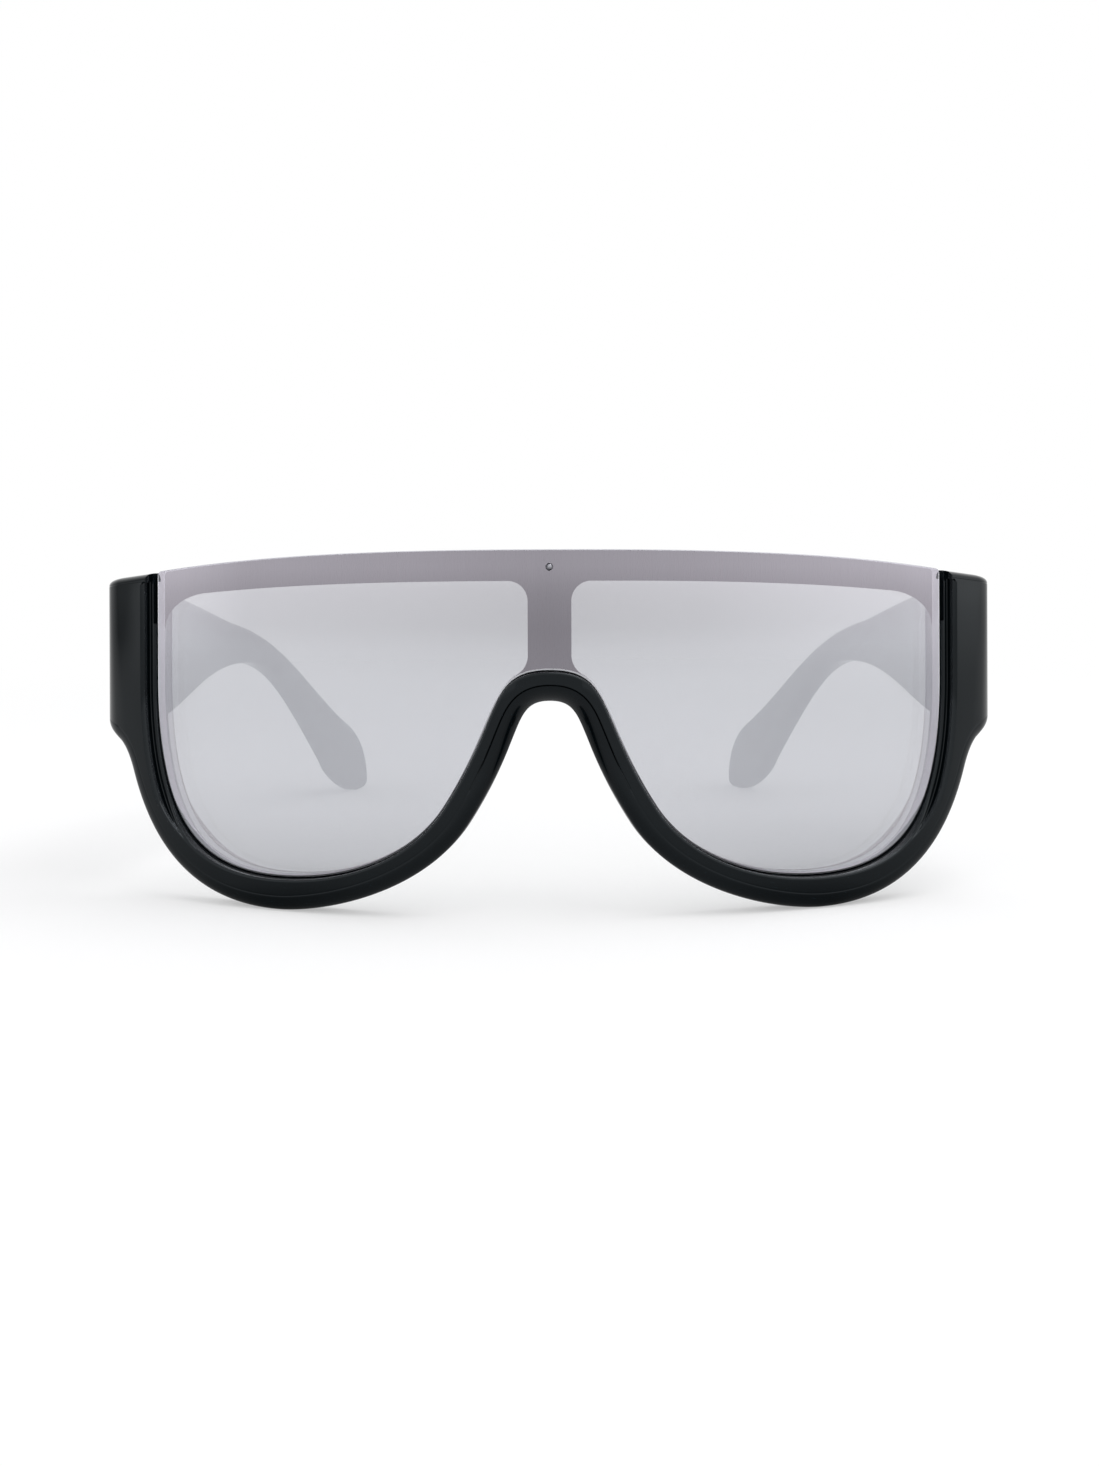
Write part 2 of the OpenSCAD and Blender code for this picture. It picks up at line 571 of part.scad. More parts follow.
module temple_body() {
    function level(a, face, way) = let (d = temple_round * (1 - cos(a)), w = face + way * temple_round
        * (1 - sin(a)) / front_t) [raised(moved(temple_low, d), w), raised(moved(temple_top, -d), w)];
    slab(concat([for (a = [90, 60, 30, 0]) level(a, 0, 1)], [for (a = [0, 30, 60, 90]) level(a, 1, -1)]),
        function(p) temple_point(p));
}

// The wire core runs halfway between the edges, from the joint face to the paddle
function core_slab(gap, from) = let (
    steps = 24,
    mid = [for (i = [0:steps]) let (s = i == 0 ? from : core_run * i / steps)
        [s, (lookup(s, temple_low) + lookup(s, temple_top)) / 2]],
    low = moved(mid, -core_w / 2 - gap),
    high = moved(mid, core_w / 2 + gap))
    [for (way = [-1, 1]) [for (path = [low, high])
        [for (p = path) [p.x, p.y, 0.58 + way * (core_t / 2 + gap) / temple_t(p.x)]]]];

module temple() color(black) {
    difference() {
        temple_body();
        slab(core_slab(core_gap, -1), function(p) temple_point(p));
        at_temple(hinge_h) temple_leaf(leaf_gap);
    }
}

module temple_core() color(steel) slab(core_slab(0, 0.5), function(p) temple_point(p));

front_frame();
shield_lens();
lens_pin();
at_side("left") nose_pad();  // nose_pad_left
at_side("right") nose_pad();  // nose_pad_right
at_side("left") hinge_front();  // hinge_front_left
at_side("right") hinge_front();  // hinge_front_right
at_side("left") hinge_temple();  // hinge_temple_left
at_side("right") hinge_temple();  // hinge_temple_right
at_side("left") hinge_screw();  // hinge_screw_left
at_side("right") hinge_screw();  // hinge_screw_right
at_side("left") temple();  // temple_left
at_side("right") temple();  // temple_right
at_side("left") temple_core();  // temple_core_left
at_side("right") temple_core();  // temple_core_right
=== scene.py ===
"""Flat-top mask sunglasses: the looks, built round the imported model.

Sizes are in millimetres and are the model's own; MM turns them into metres where a mesh is made.
"""

import math

import bpy
import numpy as np
from mathutils import Matrix, Vector


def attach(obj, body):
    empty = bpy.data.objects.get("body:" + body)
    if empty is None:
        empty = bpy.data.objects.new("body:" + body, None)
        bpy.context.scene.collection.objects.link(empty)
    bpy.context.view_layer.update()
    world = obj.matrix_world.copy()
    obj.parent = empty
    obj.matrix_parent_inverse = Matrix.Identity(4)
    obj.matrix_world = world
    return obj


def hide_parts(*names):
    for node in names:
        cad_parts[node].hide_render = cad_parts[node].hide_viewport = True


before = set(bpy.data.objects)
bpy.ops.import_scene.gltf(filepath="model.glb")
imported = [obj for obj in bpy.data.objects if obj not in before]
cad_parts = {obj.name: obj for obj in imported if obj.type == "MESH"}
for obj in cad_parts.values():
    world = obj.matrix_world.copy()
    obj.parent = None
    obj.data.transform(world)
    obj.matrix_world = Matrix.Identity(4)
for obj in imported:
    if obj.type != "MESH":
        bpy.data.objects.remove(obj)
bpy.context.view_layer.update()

MM = 0.001

# Lens
LENS_R = 122.0
LENS_HALF_W = 69.6
LENS_T = 1.6
TOP_H = 58.0
TOP_FALL = 3.65
TOP_POWER = 2.5
LENS_CORNER_R = 0.8
ARCH_H = 39.0
LENS_ARCH_PULL = (10.1, 17.2)
LENS_FLANK_PULL = (6.6, 16.0)
LENS_SIDE_PULL = (18.6, 20.5)
FLANK = np.array([16.7, 17.3])
FLANK_SLOPE = math.radians(57)
FLANK_WAY = np.array([math.cos(FLANK_SLOPE), -math.sin(FLANK_SLOPE)])
LOW_U = 44.6
SIDE_H = 36.4
PIN_DROP = 2.75
PIN_D = 1.0
PIN_HEAD_H = 0.3
PIN_SHORT = 0.55
PIN_CUT_GAP = 0.02
PIN_LENS_GAP = 0.1
# The ease of the lens's back edges, and its front bevel as (in from the lower edge, in from the upper edge,
# ahead of its face)
LENS_EASE = 0.14
LENS_BEVEL = [(0, 0, -0.12), (0.06, 0.04, -0.04), (0.26, 0.12, 0)]

# Rim, ledge, brow bar and post
RIM_BOTTOM_W = 5.25
RIM_ARCH_W = 4.95
RIM_FLANK_W = 4.6
RIM_ARCH_PULL = (6.2, 16.4)
RIM_FLANK_PULL = (14.0, 6.7)
RIM_SHOULDER_PULL = (6.0, 20.9)
RIM_END_PULL = (4.7, 4.1)
SHOULDER_W = 4.9
SHOULDER_H = 20.4
SHOULDER_SLOPE = math.radians(69.8)
RIM_PROUD = 1.9
LEDGE_W = 0.3
LEDGE_T = 1.8
LENS_GAP = 0.15
NOTCH_GAP = 0.35
NOTCH_H = 8.5
MOUTH_ROUND = 0.4
BEZEL_W = 0.85
BEZEL_PROUD = 0.5
GROOVE_D = 0.3
GROOVE_U = LENS_GAP + BEZEL_W
GROOVE_TOP = 52.7
GROOVE_END_R = 0.5
GROOVE_MID = GROOVE_U + 0.35
# Sections beside the lens, as (across, ahead): the bezel's foot from the lens's gap, its outer edge and the
# groove's floor from the groove's start, and the rim's wall up from there
BEZEL_FOOT = [(0, -0.28), (0.03, -0.16), (0.10, -0.07), (0.22, -0.01), (0.40, 0)]
BEZEL_EDGE = [(-0.14, 0), (-0.04, -0.04), (0.02, -0.13)]
GROOVE_FLOOR = [(0.05, 0.06), (0.14, 0), (0.42, 0), (0.53, 0.08), (0.60, 0.30)]
GROOVE_WALL = [(0.70, -0.72), (0.78, -0.45), (0.92, -0.20), (1.14, -0.03), (1.20, 1)]
# Heights between which the plain mouth of the rim turns into bezel and groove
BEZEL_RISE = (9, 18)
NOSE_STEP = 0.25
NOSE_FLAT = 0.6
STEP_MIN = 0.01
# The fine groove along the crest, as (share of its width, height in steps)
CREST_W = 0.3
CREST_ROWS = [(0.12, -1.0), (0.55, -1.2), (0.75, 0.8), (1.0, 1.0)]
RIM_ROUND_W = 2.4
RIM_ROUND_D = 1.7
NOSE_ROUND_W = 2.6
NOSE_ROUND_D = 3.4
TOP_ROUND_W = 0.45 * RIM_ROUND_W
# Distances from the middle between which the nose's rounding and its step give way to the rim's
NOSE_ROUND_SPAN = (4, 13)
NOSE_STEP_SPAN = (6, 11)
BACK_ROUND = 0.6
BAR_H = 5.0
BAR_TAPER = 0.5
POST_W = 7.0
WINDOW_IN_R = 3.2
WINDOW_OUT_R = 5.0
WINDOW_OUT_STRETCH = 1.8
WINDOW_ROUND = 0.45
WINDOW_DRAFT = 2.25
# Distances from the middle between which the draft grows, on the lower and the upper edge
DRAFT_LOW_SPAN = (25, 55)
DRAFT_TOP_SPAN = (55, 67)
FLARE_W = 1.7
FLARE_H = 2.3

# End pieces and temples
TURN_START = 7.6
TURN_U = LENS_HALF_W + TURN_START
TURN_R = 4.2
END_RUN = 1.6
END_LOW = 26.8
END_FLAT = 1.0
END_CROWN = 0.27
END_CROWN_RISE = 0.04
END_STEP = 0.5
END_SLOPE = 0.15
TOE_IN = math.radians(6.5)
TEMPLE_RUN = 115.2
BOW_R = 380.0
BOW_START = 12.0
TIP_T = 3.0
TEMPLE_ROUND = 1.1
NECK_RUN = 47.2
NECK_SHIFT = 3.2
NECK_LOW = 34.4
NECK_TOP = 42.9
NECK_PULL = (19.8, 26.7, 17.9)
NECK_BEND = (4.8, -4.4)
JOINT_PULL = (21.2, -2.8)
EAR_TOP = (TEMPLE_RUN - 9.8, 16.3)
EAR_PULL = ((-20.8, 11.3), (7.4, -3.6))
EAR_LOW = (TEMPLE_RUN - 18.3, 8.1)
EAR_LOW_PULL = ((-20.1, 20.5), (2.0, -3.6))
SOLE = (TEMPLE_RUN - 4.6, 0)
SOLE_PULL = (3.0, 3.6)
TIP_H = 2.0
TIP_FLAT = 0.3
TIP_PULL = (4.8, 1.4)
JOINT_GAP = 0.25

# Hinges and pads
HINGE_RISE = 1.2
BARREL_PITCH = 1.6
BARREL_GAP = 0.1
LEAF_T = 1.0
LEAF_GAP = 0.03
FRONT_LEAF_L = 5.6
TEMPLE_LEAF_L = 9.5
TEMPLE_LEAF_FROM = 1.3
HINGE_EASE = 0.1
SCREW_EASE = 0.06
WELD_GAP = 0.002
PAD_H = 26.0
PAD_L = 11.0
PAD_W = 3.2
PAD_REACH = 5.5
PAD_SPLAY = 0.9
PAD_SINK = 0.3
PAD_FOOT = 0.8
PAD_FOOT_H = 0.6
PAD_EDGE_GAP = 0.5

BACK_W = -LENS_T - LEDGE_T
FRONT_T = RIM_PROUD - BACK_W
TURN_ANGLE = math.pi / 2 + TOE_IN - TURN_U / LENS_R
TURN_L = TURN_R * TURN_ANGLE
END_U = TURN_U + TURN_L + END_RUN
JOINT_ANGLE = math.pi / 2 + TOE_IN
LEAF_H = 5 * BARREL_PITCH - BARREL_GAP

# How finely the curves are drawn, as a multiple of the steps that the solids have
FINE = 7

# How far a cutter reaches past what it cuts
PAST = 1.0


def outward(a):
    """Direction out of the front's face, seen from above, where the front is turned by angle a."""
    return np.stack([np.sin(a), -np.cos(a)], axis=-1)


def along(a):
    """Direction along the front, away from the middle, where the front is turned by angle a."""
    return np.stack([np.cos(a), np.sin(a)], axis=-1)


def front_angle(u):
    """Angle of the front, seen from above, at distance u along the lens's curve."""
    return np.minimum(u, TURN_U) / LENS_R + np.clip(u - TURN_U, 0, TURN_L) / TURN_R


def plan(u, w):
    """Plan points of the front at distance u >= 0, moved outward by w, measured from the foremost point."""
    u, w = np.broadcast_arrays(np.asarray(u, float), np.asarray(w, float))
    first = np.minimum(u, TURN_U) / LENS_R
    angle = front_angle(u)
    turned = (u > TURN_U)[..., None]
    start = np.array([0.0, RIM_PROUD + LENS_R]) + np.where(turned, LENS_R - TURN_R, LENS_R) * outward(first)
    bend = np.where(turned, TURN_R * outward(angle), 0.0)
    run = np.maximum(u - TURN_U - TURN_L, 0)[..., None] * along(angle)
    return start + bend + run + w[..., None] * outward(angle)


JOINT_PLAN = plan(END_U, BACK_W) + JOINT_GAP * along(JOINT_ANGLE)
BOW_TIP = (TEMPLE_RUN - BOW_START) ** 2 / 2 / BOW_R
DEPTH = JOINT_PLAN[1] + TEMPLE_RUN * math.cos(TOE_IN) - (BOW_TIP - TIP_T) * math.sin(TOE_IN)
FRONT_Y = -DEPTH / 2


def front_point(p):
    """Points of the front, from distance along the curve, height and distance ahead of the lens's face."""
    q = plan(np.abs(p[..., 0]), p[..., 2])
    return np.stack([np.sign(p[..., 0]) * q[..., 0], FRONT_Y + q[..., 1], p[..., 1]], axis=-1)


def temple_t(s):
    """Thickness of the temple at distance s past the joint."""
    return FRONT_T + (TIP_T - FRONT_T) * np.maximum(s, 0) / TEMPLE_RUN


def temple_point(p):
    """Points of the right temple, from distance past the joint, height and share of the thickness."""
    s = p[..., 0]
    bow = np.maximum(s - BOW_START, 0) ** 2 / 2 / BOW_R
    q = (JOINT_PLAN + s[..., None] * along(JOINT_ANGLE)
         + (p[..., 2] * temple_t(s) - bow)[..., None] * outward(JOINT_ANGLE))
    return np.stack([q[..., 0], FRONT_Y + q[..., 1], p[..., 1]], axis=-1)


def span(a, b, c, d, steps):
    """A cubic curve's points, without the last."""
    t = np.linspace(0, 1, steps * FINE, endpoint=False)[:, None]
    s = 1 - t
    a, b, c, d = (np.asarray(v, float) for v in (a, b, c, d))
    return s ** 3 * a + 3 * s * s * t * b + 3 * s * t * t * c + t ** 3 * d


def straight(a, b, steps):
    """A straight line's points, without the last."""
    t = np.linspace(0, 1, steps, endpoint=False)[:, None]
    return (1 - t) * np.asarray(a, float) + t * np.asarray(b, float)


def normals(path):
    """Unit vectors to the left of a path, at each of its points."""
    step = np.zeros_like(path)
    step[1:-1] = path[2:] - path[:-2]
    step[0] = path[1] - path[0]
    step[-1] = path[-1] - path[-2]
    length = np.linalg.norm(step, axis=1, keepdims=True)
    return np.stack([-step[:, 1], step[:, 0]], axis=1) / length


def moved(path, d):
    """The path moved to its left by d."""
    return path + np.reshape(d, (-1, 1)) * normals(path)


def both_sides(half):
    """A right-hand path from the middle outwards, joined to its mirror image."""
    left = half[:0:-1].copy()
    left[:, 0] *= -1
    return np.concatenate([left, half])


def smooth(t):
    """From 0 to 1, with a level start and end."""
    t = np.clip(t, 0, 1)
    return t * t * (3 - 2 * t)


def smooth_over(x, ends):
    """From 0 at the first of the two ends to 1 at the second, with a level start and end."""
    return smooth((x - ends[0]) / (ends[1] - ends[0]))


def raised(path, w):
    """A flat path given its distance ahead of the lens's face."""
    return np.column_stack([path, np.broadcast_to(w, len(path))])


def top_z(u):
    """Height of the lens's and the brow bar's top edge."""
    return TOP_H - TOP_FALL * (np.abs(u) / LENS_HALF_W) ** TOP_POWER


def end_top(u):
    """Height of the end piece's top."""
    return top_z(LENS_HALF_W) - END_STEP - END_SLOPE * (u - LENS_HALF_W)


def end_crown(u):
    """How much the end piece's top is crowned above the solid's flat one."""
    return END_CROWN + END_CROWN_RISE * np.clip(u - LENS_HALF_W, 0, TURN_START)


def lens_low_path():
    """Lower edge of the lens, from the nose to the side."""
    low = np.array([LOW_U, RIM_BOTTOM_W])
    side = np.array([LENS_HALF_W, SIDE_H])
    return np.concatenate([
        span([0, ARCH_H], [LENS_ARCH_PULL[0], ARCH_H], FLANK - LENS_ARCH_PULL[1] * FLANK_WAY, FLANK, 11),
        span(FLANK, FLANK + LENS_FLANK_PULL[0] * FLANK_WAY, low - [LENS_FLANK_PULL[1], 0], low, 11),
        span(low, low + [LENS_SIDE_PULL[0], 0], side - [0, LENS_SIDE_PULL[1]], side, 14),
        [side]])


def rim_low_path():
    """Outer edge of the rim, from the nose opening to the end piece's joint face."""
    flank = FLANK - RIM_FLANK_W * np.array([math.sin(FLANK_SLOPE), math.cos(FLANK_SLOPE)])
    arch = np.array([0, ARCH_H - RIM_ARCH_W])
    low = np.array([LOW_U, 0])
    shoulder = np.array([LENS_HALF_W + SHOULDER_W, SHOULDER_H])
    up = np.array([math.cos(SHOULDER_SLOPE), math.sin(SHOULDER_SLOPE)])
    corner = np.array([END_U - END_FLAT, END_LOW])
    return np.concatenate([
        span(arch, arch + [RIM_ARCH_PULL[0], 0], flank - RIM_ARCH_PULL[1] * FLANK_WAY, flank, 11),
        span(flank, flank + RIM_FLANK_PULL[0] * FLANK_WAY, low - [RIM_FLANK_PULL[1], 0], low, 13),
        span(low, low + [RIM_SHOULDER_PULL[0], 0], shoulder - RIM_SHOULDER_PULL[1] * up, shoulder, 14),
        span(shoulder, shoulder + RIM_END_PULL[0] * up, corner - [RIM_END_PULL[1], 0], corner, 8),
        straight(corner, [END_U, END_LOW], 3),
        [[END_U, END_LOW]]])


LENS_LOW = lens_low_path()
RIM_LOW = rim_low_path()
JOINT_TOP = float(end_top(END_U))
HINGE_H = (END_LOW + JOINT_TOP) / 2 + HINGE_RISE


def mesh_object(name, points, faces):
    """A new mesh object from points in millimetres."""
    mesh = bpy.data.meshes.new(name)
    mesh.from_pydata((np.asarray(points).reshape(-1, 3) * MM).tolist(), [], [list(f) for f in faces])
    mesh.update()
    obj = bpy.data.objects.new(name, mesh)
    bpy.context.scene.collection.objects.link(obj)
    return obj


def slab(name, levels, bend, back_lines=()):
    """A bent slab. Each level is a lower and an upper path, and the levels run from the back to the front.
    Further paths may divide its back face from below upwards."""
    levels = np.asarray(levels, float)
    count, _, n, _ = levels.shape
    paths = list(levels.reshape(-1, n, 3)) + list(back_lines)
    points = bend(np.concatenate(paths))
    rows = [range(n * k, n * (k + 1)) for k in range(len(paths))]
    low, top = rows[0:2 * count:2], rows[1:2 * count:2]
    back = [low[0], *rows[2 * count:], top[0]]
    last = count - 1
    faces = []
    for i in range(n - 1):
        faces.append((low[last][i + 1], top[last][i + 1], top[last][i], low[last][i]))
        for a, b in zip(back, back[1:]):
            faces.append((b[i], b[i + 1], a[i + 1], a[i]))
    for k in range(last):
        inner = back[1:-1] if k == 0 else []
        for i in range(n - 1):
            faces.append((low[k][i], low[k][i + 1], low[k + 1][i + 1], low[k + 1][i]))
            faces.append((top[k][i + 1], top[k][i], top[k + 1][i], top[k + 1][i + 1]))
        first_end, last_end = [row[0] for row in inner[::-1]], [row[-1] for row in inner]
        faces.append((top[k][0], *first_end, low[k][0], low[k + 1][0], top[k + 1][0]))
        faces.append((low[k][-1], *last_end, top[k][-1], top[k + 1][-1], low[k + 1][-1]))
    return mesh_object(name, points, faces)


def prism(name, outline, start, end, place):
    """A closed prism: an outline in local X and Z, drawn from local Y start to end, and put in place."""
    n = len(outline)
    points = [place @ Vector((x, y, z)) for y in (start, end) for x, z in outline]
    faces = [tuple(range(n)), tuple(range(2 * n - 1, n - 1, -1))]
    faces += [(i, n + i, n + (i + 1) % n, (i + 1) % n) for i in range(n)]
    return mesh_object(name, np.array([tuple(p) for p in points]), faces)


def at_front(u, h):
    """Place on the right front: local X along its curve, local Y to the back, local Z up."""
    x, y, z = front_point(np.array([u, h, 0.0]))
    return Matrix.Translation((x, y, z)) @ Matrix.Rotation(float(front_angle(u)), 4, "Z")


def at_temple(h):
    """Place on the right temple's inner face at the joint."""
    return Matrix.Translation((JOINT_PLAN[0], FRONT_Y + JOINT_PLAN[1], h)) @ Matrix.Rotation(TOE_IN, 4, "Z")


MIRROR = Matrix.Diagonal((-1, 1, 1, 1))


def flipped(obj):
    """The object mirrored about x = 0, in place."""
    obj.data.transform(MIRROR)
    obj.data.flip_normals()
    return obj


def stadium(width, height, steps=16):
    """Outline of a straight slot with round ends, upright."""
    r = width / 2
    run = height / 2 - r
    top = [(r * math.cos(a), run + r * math.sin(a)) for a in np.linspace(0, math.pi, steps)]
    low = [(r * math.cos(a), -run + r * math.sin(a)) for a in np.linspace(math.pi, 2 * math.pi, steps)]
    return top + low


def ring_outline(r, steps):
    """Outline of a circle."""
    return [(r * math.cos(a), r * math.sin(a)) for a in np.linspace(0, 2 * math.pi, steps, endpoint=False)]


def cut(obj, cutters):
    """Takes the cutters out of the object's mesh and deletes them."""
    for cutter in cutters:
        tool = obj.modifiers.new("cut", "BOOLEAN")
        tool.operation = "DIFFERENCE"
        tool.solver = "MANIFOLD"
        tool.object = cutter
    depsgraph = bpy.context.evaluated_depsgraph_get()
    mesh = bpy.data.meshes.new_from_object(obj.evaluated_get(depsgraph))
    obj.modifiers.clear()
    obj.data = mesh
    for cutter in cutters:
        bpy.data.objects.remove(cutter)


def shade(obj, degrees):
    """Smooth shading, with edges over the given angle kept sharp."""
    obj.data.shade_smooth()
    obj.data.set_sharp_from_angle(angle=math.radians(degrees))


# Materials


def principled(name, **values):
    """A new material and its Principled shader, with plain values on the shader's own sockets."""
    mat = bpy.data.materials.new(name)
    mat.use_nodes = True
    shader = mat.node_tree.nodes["Principled BSDF"]
    for socket, value in values.items():
        shader.inputs[socket.replace("_", " ")].default_value = value
    return mat, shader


def add_node(mat, kind):
    """A new node in the material."""
    return mat.node_tree.nodes.new(kind)


def noise(mat, scale, detail=4.0, roughness=0.55, stretch=(1, 1, 1)):
    """Noise in the piece's own coordinates, in millimetres, and its factor output."""
    where = add_node(mat, "ShaderNodeTexCoord")
    size = add_node(mat, "ShaderNodeMapping")
    size.inputs["Scale"].default_value = [s / MM for s in stretch]
    grain = add_node(mat, "ShaderNodeTexNoise")
    grain.inputs["Scale"].default_value = scale
    grain.inputs["Detail"].default_value = detail
    grain.inputs["Roughness"].default_value = roughness
    link = mat.node_tree.links.new
    link(where.outputs["Object"], size.inputs["Vector"])
    link(size.outputs["Vector"], grain.inputs["Vector"])
    return grain.outputs["Fac"]


def between(mat, factor, stops):
    """A colour ramp over factor. Stops are (position, colour)."""
    ramp = add_node(mat, "ShaderNodeValToRGB")
    for element, (position, colour) in zip(ramp.color_ramp.elements, (stops[0], stops[-1])):
        element.position, element.color = position, (*colour, 1)
    for position, colour in stops[1:-1]:
        ramp.color_ramp.elements.new(position).color = (*colour, 1)
    mat.node_tree.links.new(factor, ramp.inputs["Fac"])
    return ramp.outputs["Color"]


def span_of(mat, factor, low, high, start=0.3, end=0.7):
    """The factor mapped from start and end to a low and a high value."""
    node = add_node(mat, "ShaderNodeMapRange")
    node.inputs["From Min"].default_value = start
    node.inputs["From Max"].default_value = end
    node.inputs["To Min"].default_value = low
    node.inputs["To Max"].default_value = high
    mat.node_tree.links.new(factor, node.inputs["Value"])
    return node.outputs["Result"]


def bump(mat, shader, height, strength, distance):
    """Small heights in the surface, distance in millimetres."""
    node = add_node(mat, "ShaderNodeBump")
    node.inputs["Strength"].default_value = strength
    node.inputs["Distance"].default_value = distance * MM
    mat.node_tree.links.new(height, node.inputs["Height"])
    mat.node_tree.links.new(node.outputs["Normal"], shader.inputs["Normal"])


def black_plastic(name, dark, light, gloss, orange_peel):
    """Polished black plastic: a faint cloud in the black, soft smears in the gloss, and orange peel."""
    mat, shader = principled(name, IOR=1.47, Specular_IOR_Level=0.31,
                             Specular_Tint=(0.86, 0.94, 1.0, 1.0))
    link = mat.node_tree.links.new
    smears = noise(mat, 0.2, 4, stretch=(1, 1, 1.6))
    link(between(mat, noise(mat, 0.08, 3), [(0.35, dark), (0.65, light)]), shader.inputs["Base Color"])
    link(span_of(mat, smears, gloss * 0.8, gloss * 1.4), shader.inputs["Roughness"])
    bump(mat, shader, noise(mat, 0.45, 2), orange_peel, 0.05)
    return mat


def mirror_coat():
    """The lens's half-mirror face: silver with a breath of lavender."""
    mat, shader = principled("lens_mirror", Metallic=1.0, Alpha=0.35)
    link = mat.node_tree.links.new
    silver = [(0.3, (0.82, 0.775, 0.870)), (0.7, (0.84, 0.795, 0.890))]
    link(between(mat, noise(mat, 0.03, 2), silver), shader.inputs["Base Color"])
    link(span_of(mat, noise(mat, 0.25, 5), 0.01, 0.04), shader.inputs["Roughness"])
    return mat


def height_share(mat, low, high):
    """How far up the object a point is, from 0 at low to 1 at high, in millimetres."""
    where = add_node(mat, "ShaderNodeTexCoord")
    parts = add_node(mat, "ShaderNodeSeparateXYZ")
    mat.node_tree.links.new(where.outputs["Object"], parts.inputs[0])
    return span_of(mat, parts.outputs["Z"], 0.0, 1.0, low * MM, high * MM)


def lens_inside():
    """The lens's inner face in the windows: a second half-mirror, darker towards the brow."""
    mat, shader = principled("lens_inside", Metallic=1.0, Alpha=0.735)
    link = mat.node_tree.links.new
    low, high = 5, 55
    tint = np.array((0.91, 1.0, 1.01))
    stops = [((height - low) / (high - low), tuple(tint * grey))
             for height, grey in ((8, 0.74), (24, 0.72), (37, 0.71), (42, 0.63), (46, 0.48), (52, 0.35))]
    link(between(mat, height_share(mat, low, high), stops), shader.inputs["Base Color"])
    link(span_of(mat, noise(mat, 0.15, 4), 0.02, 0.05), shader.inputs["Roughness"])
    return mat


def lens_band():
    """The lens's inner face where it is bonded to the bar and the post: black, with its cement's smears."""
    mat, shader = principled("lens_band", Specular_IOR_Level=0.1)
    link = mat.node_tree.links.new
    black = [(0.3, (0.002, 0.002, 0.0025)), (0.7, (0.004, 0.004, 0.0045))]
    link(between(mat, noise(mat, 0.4, 3), black), shader.inputs["Base Color"])
    link(span_of(mat, noise(mat, 0.8, 3, stretch=(1, 1, 2)), 0.40, 0.50), shader.inputs["Roughness"])
    return mat


def lens_edge_painted_glint(name, low, high):
    """The lens's cut edge, with fine lines of the cutter. Its paleness, which grows from low down to high up,
    is a painted glint.
    """
    mat, shader = principled(name, IOR=1.58)
    link = mat.node_tree.links.new
    link(between(mat, height_share(mat, 22, 34), [(0.0, low), (1.0, high)]), shader.inputs["Base Color"])
    link(span_of(mat, noise(mat, 2.0, 3), 0.15, 0.3), shader.inputs["Roughness"])
    bump(mat, shader, noise(mat, 6.0, 2, stretch=(1, 1, 0.1)), 0.2, 0.02)
    return mat


def metal(name, dark, light, rough, lines):
    """Brushed or turned metal: its colour, and fine lines in gloss and height along one way."""
    mat, shader = principled(name, Metallic=1.0)
    link = mat.node_tree.links.new
    link(between(mat, noise(mat, 0.6, 4), [(0.3, dark), (0.7, light)]), shader.inputs["Base Color"])
    grain = noise(mat, 3.0, 3, stretch=lines)
    link(span_of(mat, grain, rough * 0.75, rough * 1.35), shader.inputs["Roughness"])
    bump(mat, shader, grain, 0.15, 0.02)
    return mat


BLACK_FRONT = black_plastic("front_black", (0.0009, 0.0020, 0.0027), (0.0015, 0.0027, 0.0035), 0.05, 0.02)
BLACK_TEMPLE = black_plastic("temple_black", (0.0012, 0.0022, 0.0028), (0.0020, 0.0030, 0.0037), 0.07, 0.03)
BLACK_PAD = black_plastic("pad_black", (0.0025, 0.0028, 0.0032), (0.0040, 0.0045, 0.0050), 0.30, 0.10)
# The lens's materials, in the order of the indices that its faces carry
COAT, INSIDE, BAND, EDGE, BEVEL = range(5)
# The bevel is painted pale high up and dark low down, a painted glint along the upper edge; the edge has a
# slighter painted glint
LENS_FACES = (mirror_coat(), lens_inside(), lens_band(),
              lens_edge_painted_glint("lens_edge_painted_glint", (0.50, 0.50, 0.54), (0.56, 0.56, 0.60)),
              lens_edge_painted_glint("lens_bevel_painted_glint", (0.12, 0.12, 0.13), (0.90, 0.90, 0.94)))
HINGE_METAL = metal("hinge_nickel", (0.50, 0.485, 0.45), (0.60, 0.585, 0.55), 0.26, (0.2, 0.2, 3))
SCREW_METAL = metal("screw_steel", (0.46, 0.46, 0.47), (0.56, 0.56, 0.57), 0.22, (2, 2, 0.3))
PIN_METAL = metal("pin_steel", (0.30, 0.30, 0.33), (0.42, 0.42, 0.45), 0.18, (1, 1, 1))
CORE_METAL = metal("core_steel", (0.50, 0.49, 0.47), (0.58, 0.57, 0.55), 0.35, (0.2, 0.2, 3))


def finish_piece(obj, material, body, slot_name, *nodes):
    """Gives a piece its material and its body, and hides the solids that it stands for; its slot's name is
    not used.
    """
    obj.data.materials.clear()
    obj.data.materials.append(material)
    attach(obj, body)
    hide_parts(*nodes)


# The front


def rounding(u, at_nose, at_rim):
    """A measure of the outer rounding, which changes from the nose to the rim."""
    return at_nose + (at_rim - at_nose) * smooth_over(np.abs(u), NOSE_ROUND_SPAN)


def near_nose(u):
    """1 round the nose, and 0 from the rim on."""
    return 1 - smooth_over(np.abs(u), NOSE_STEP_SPAN)


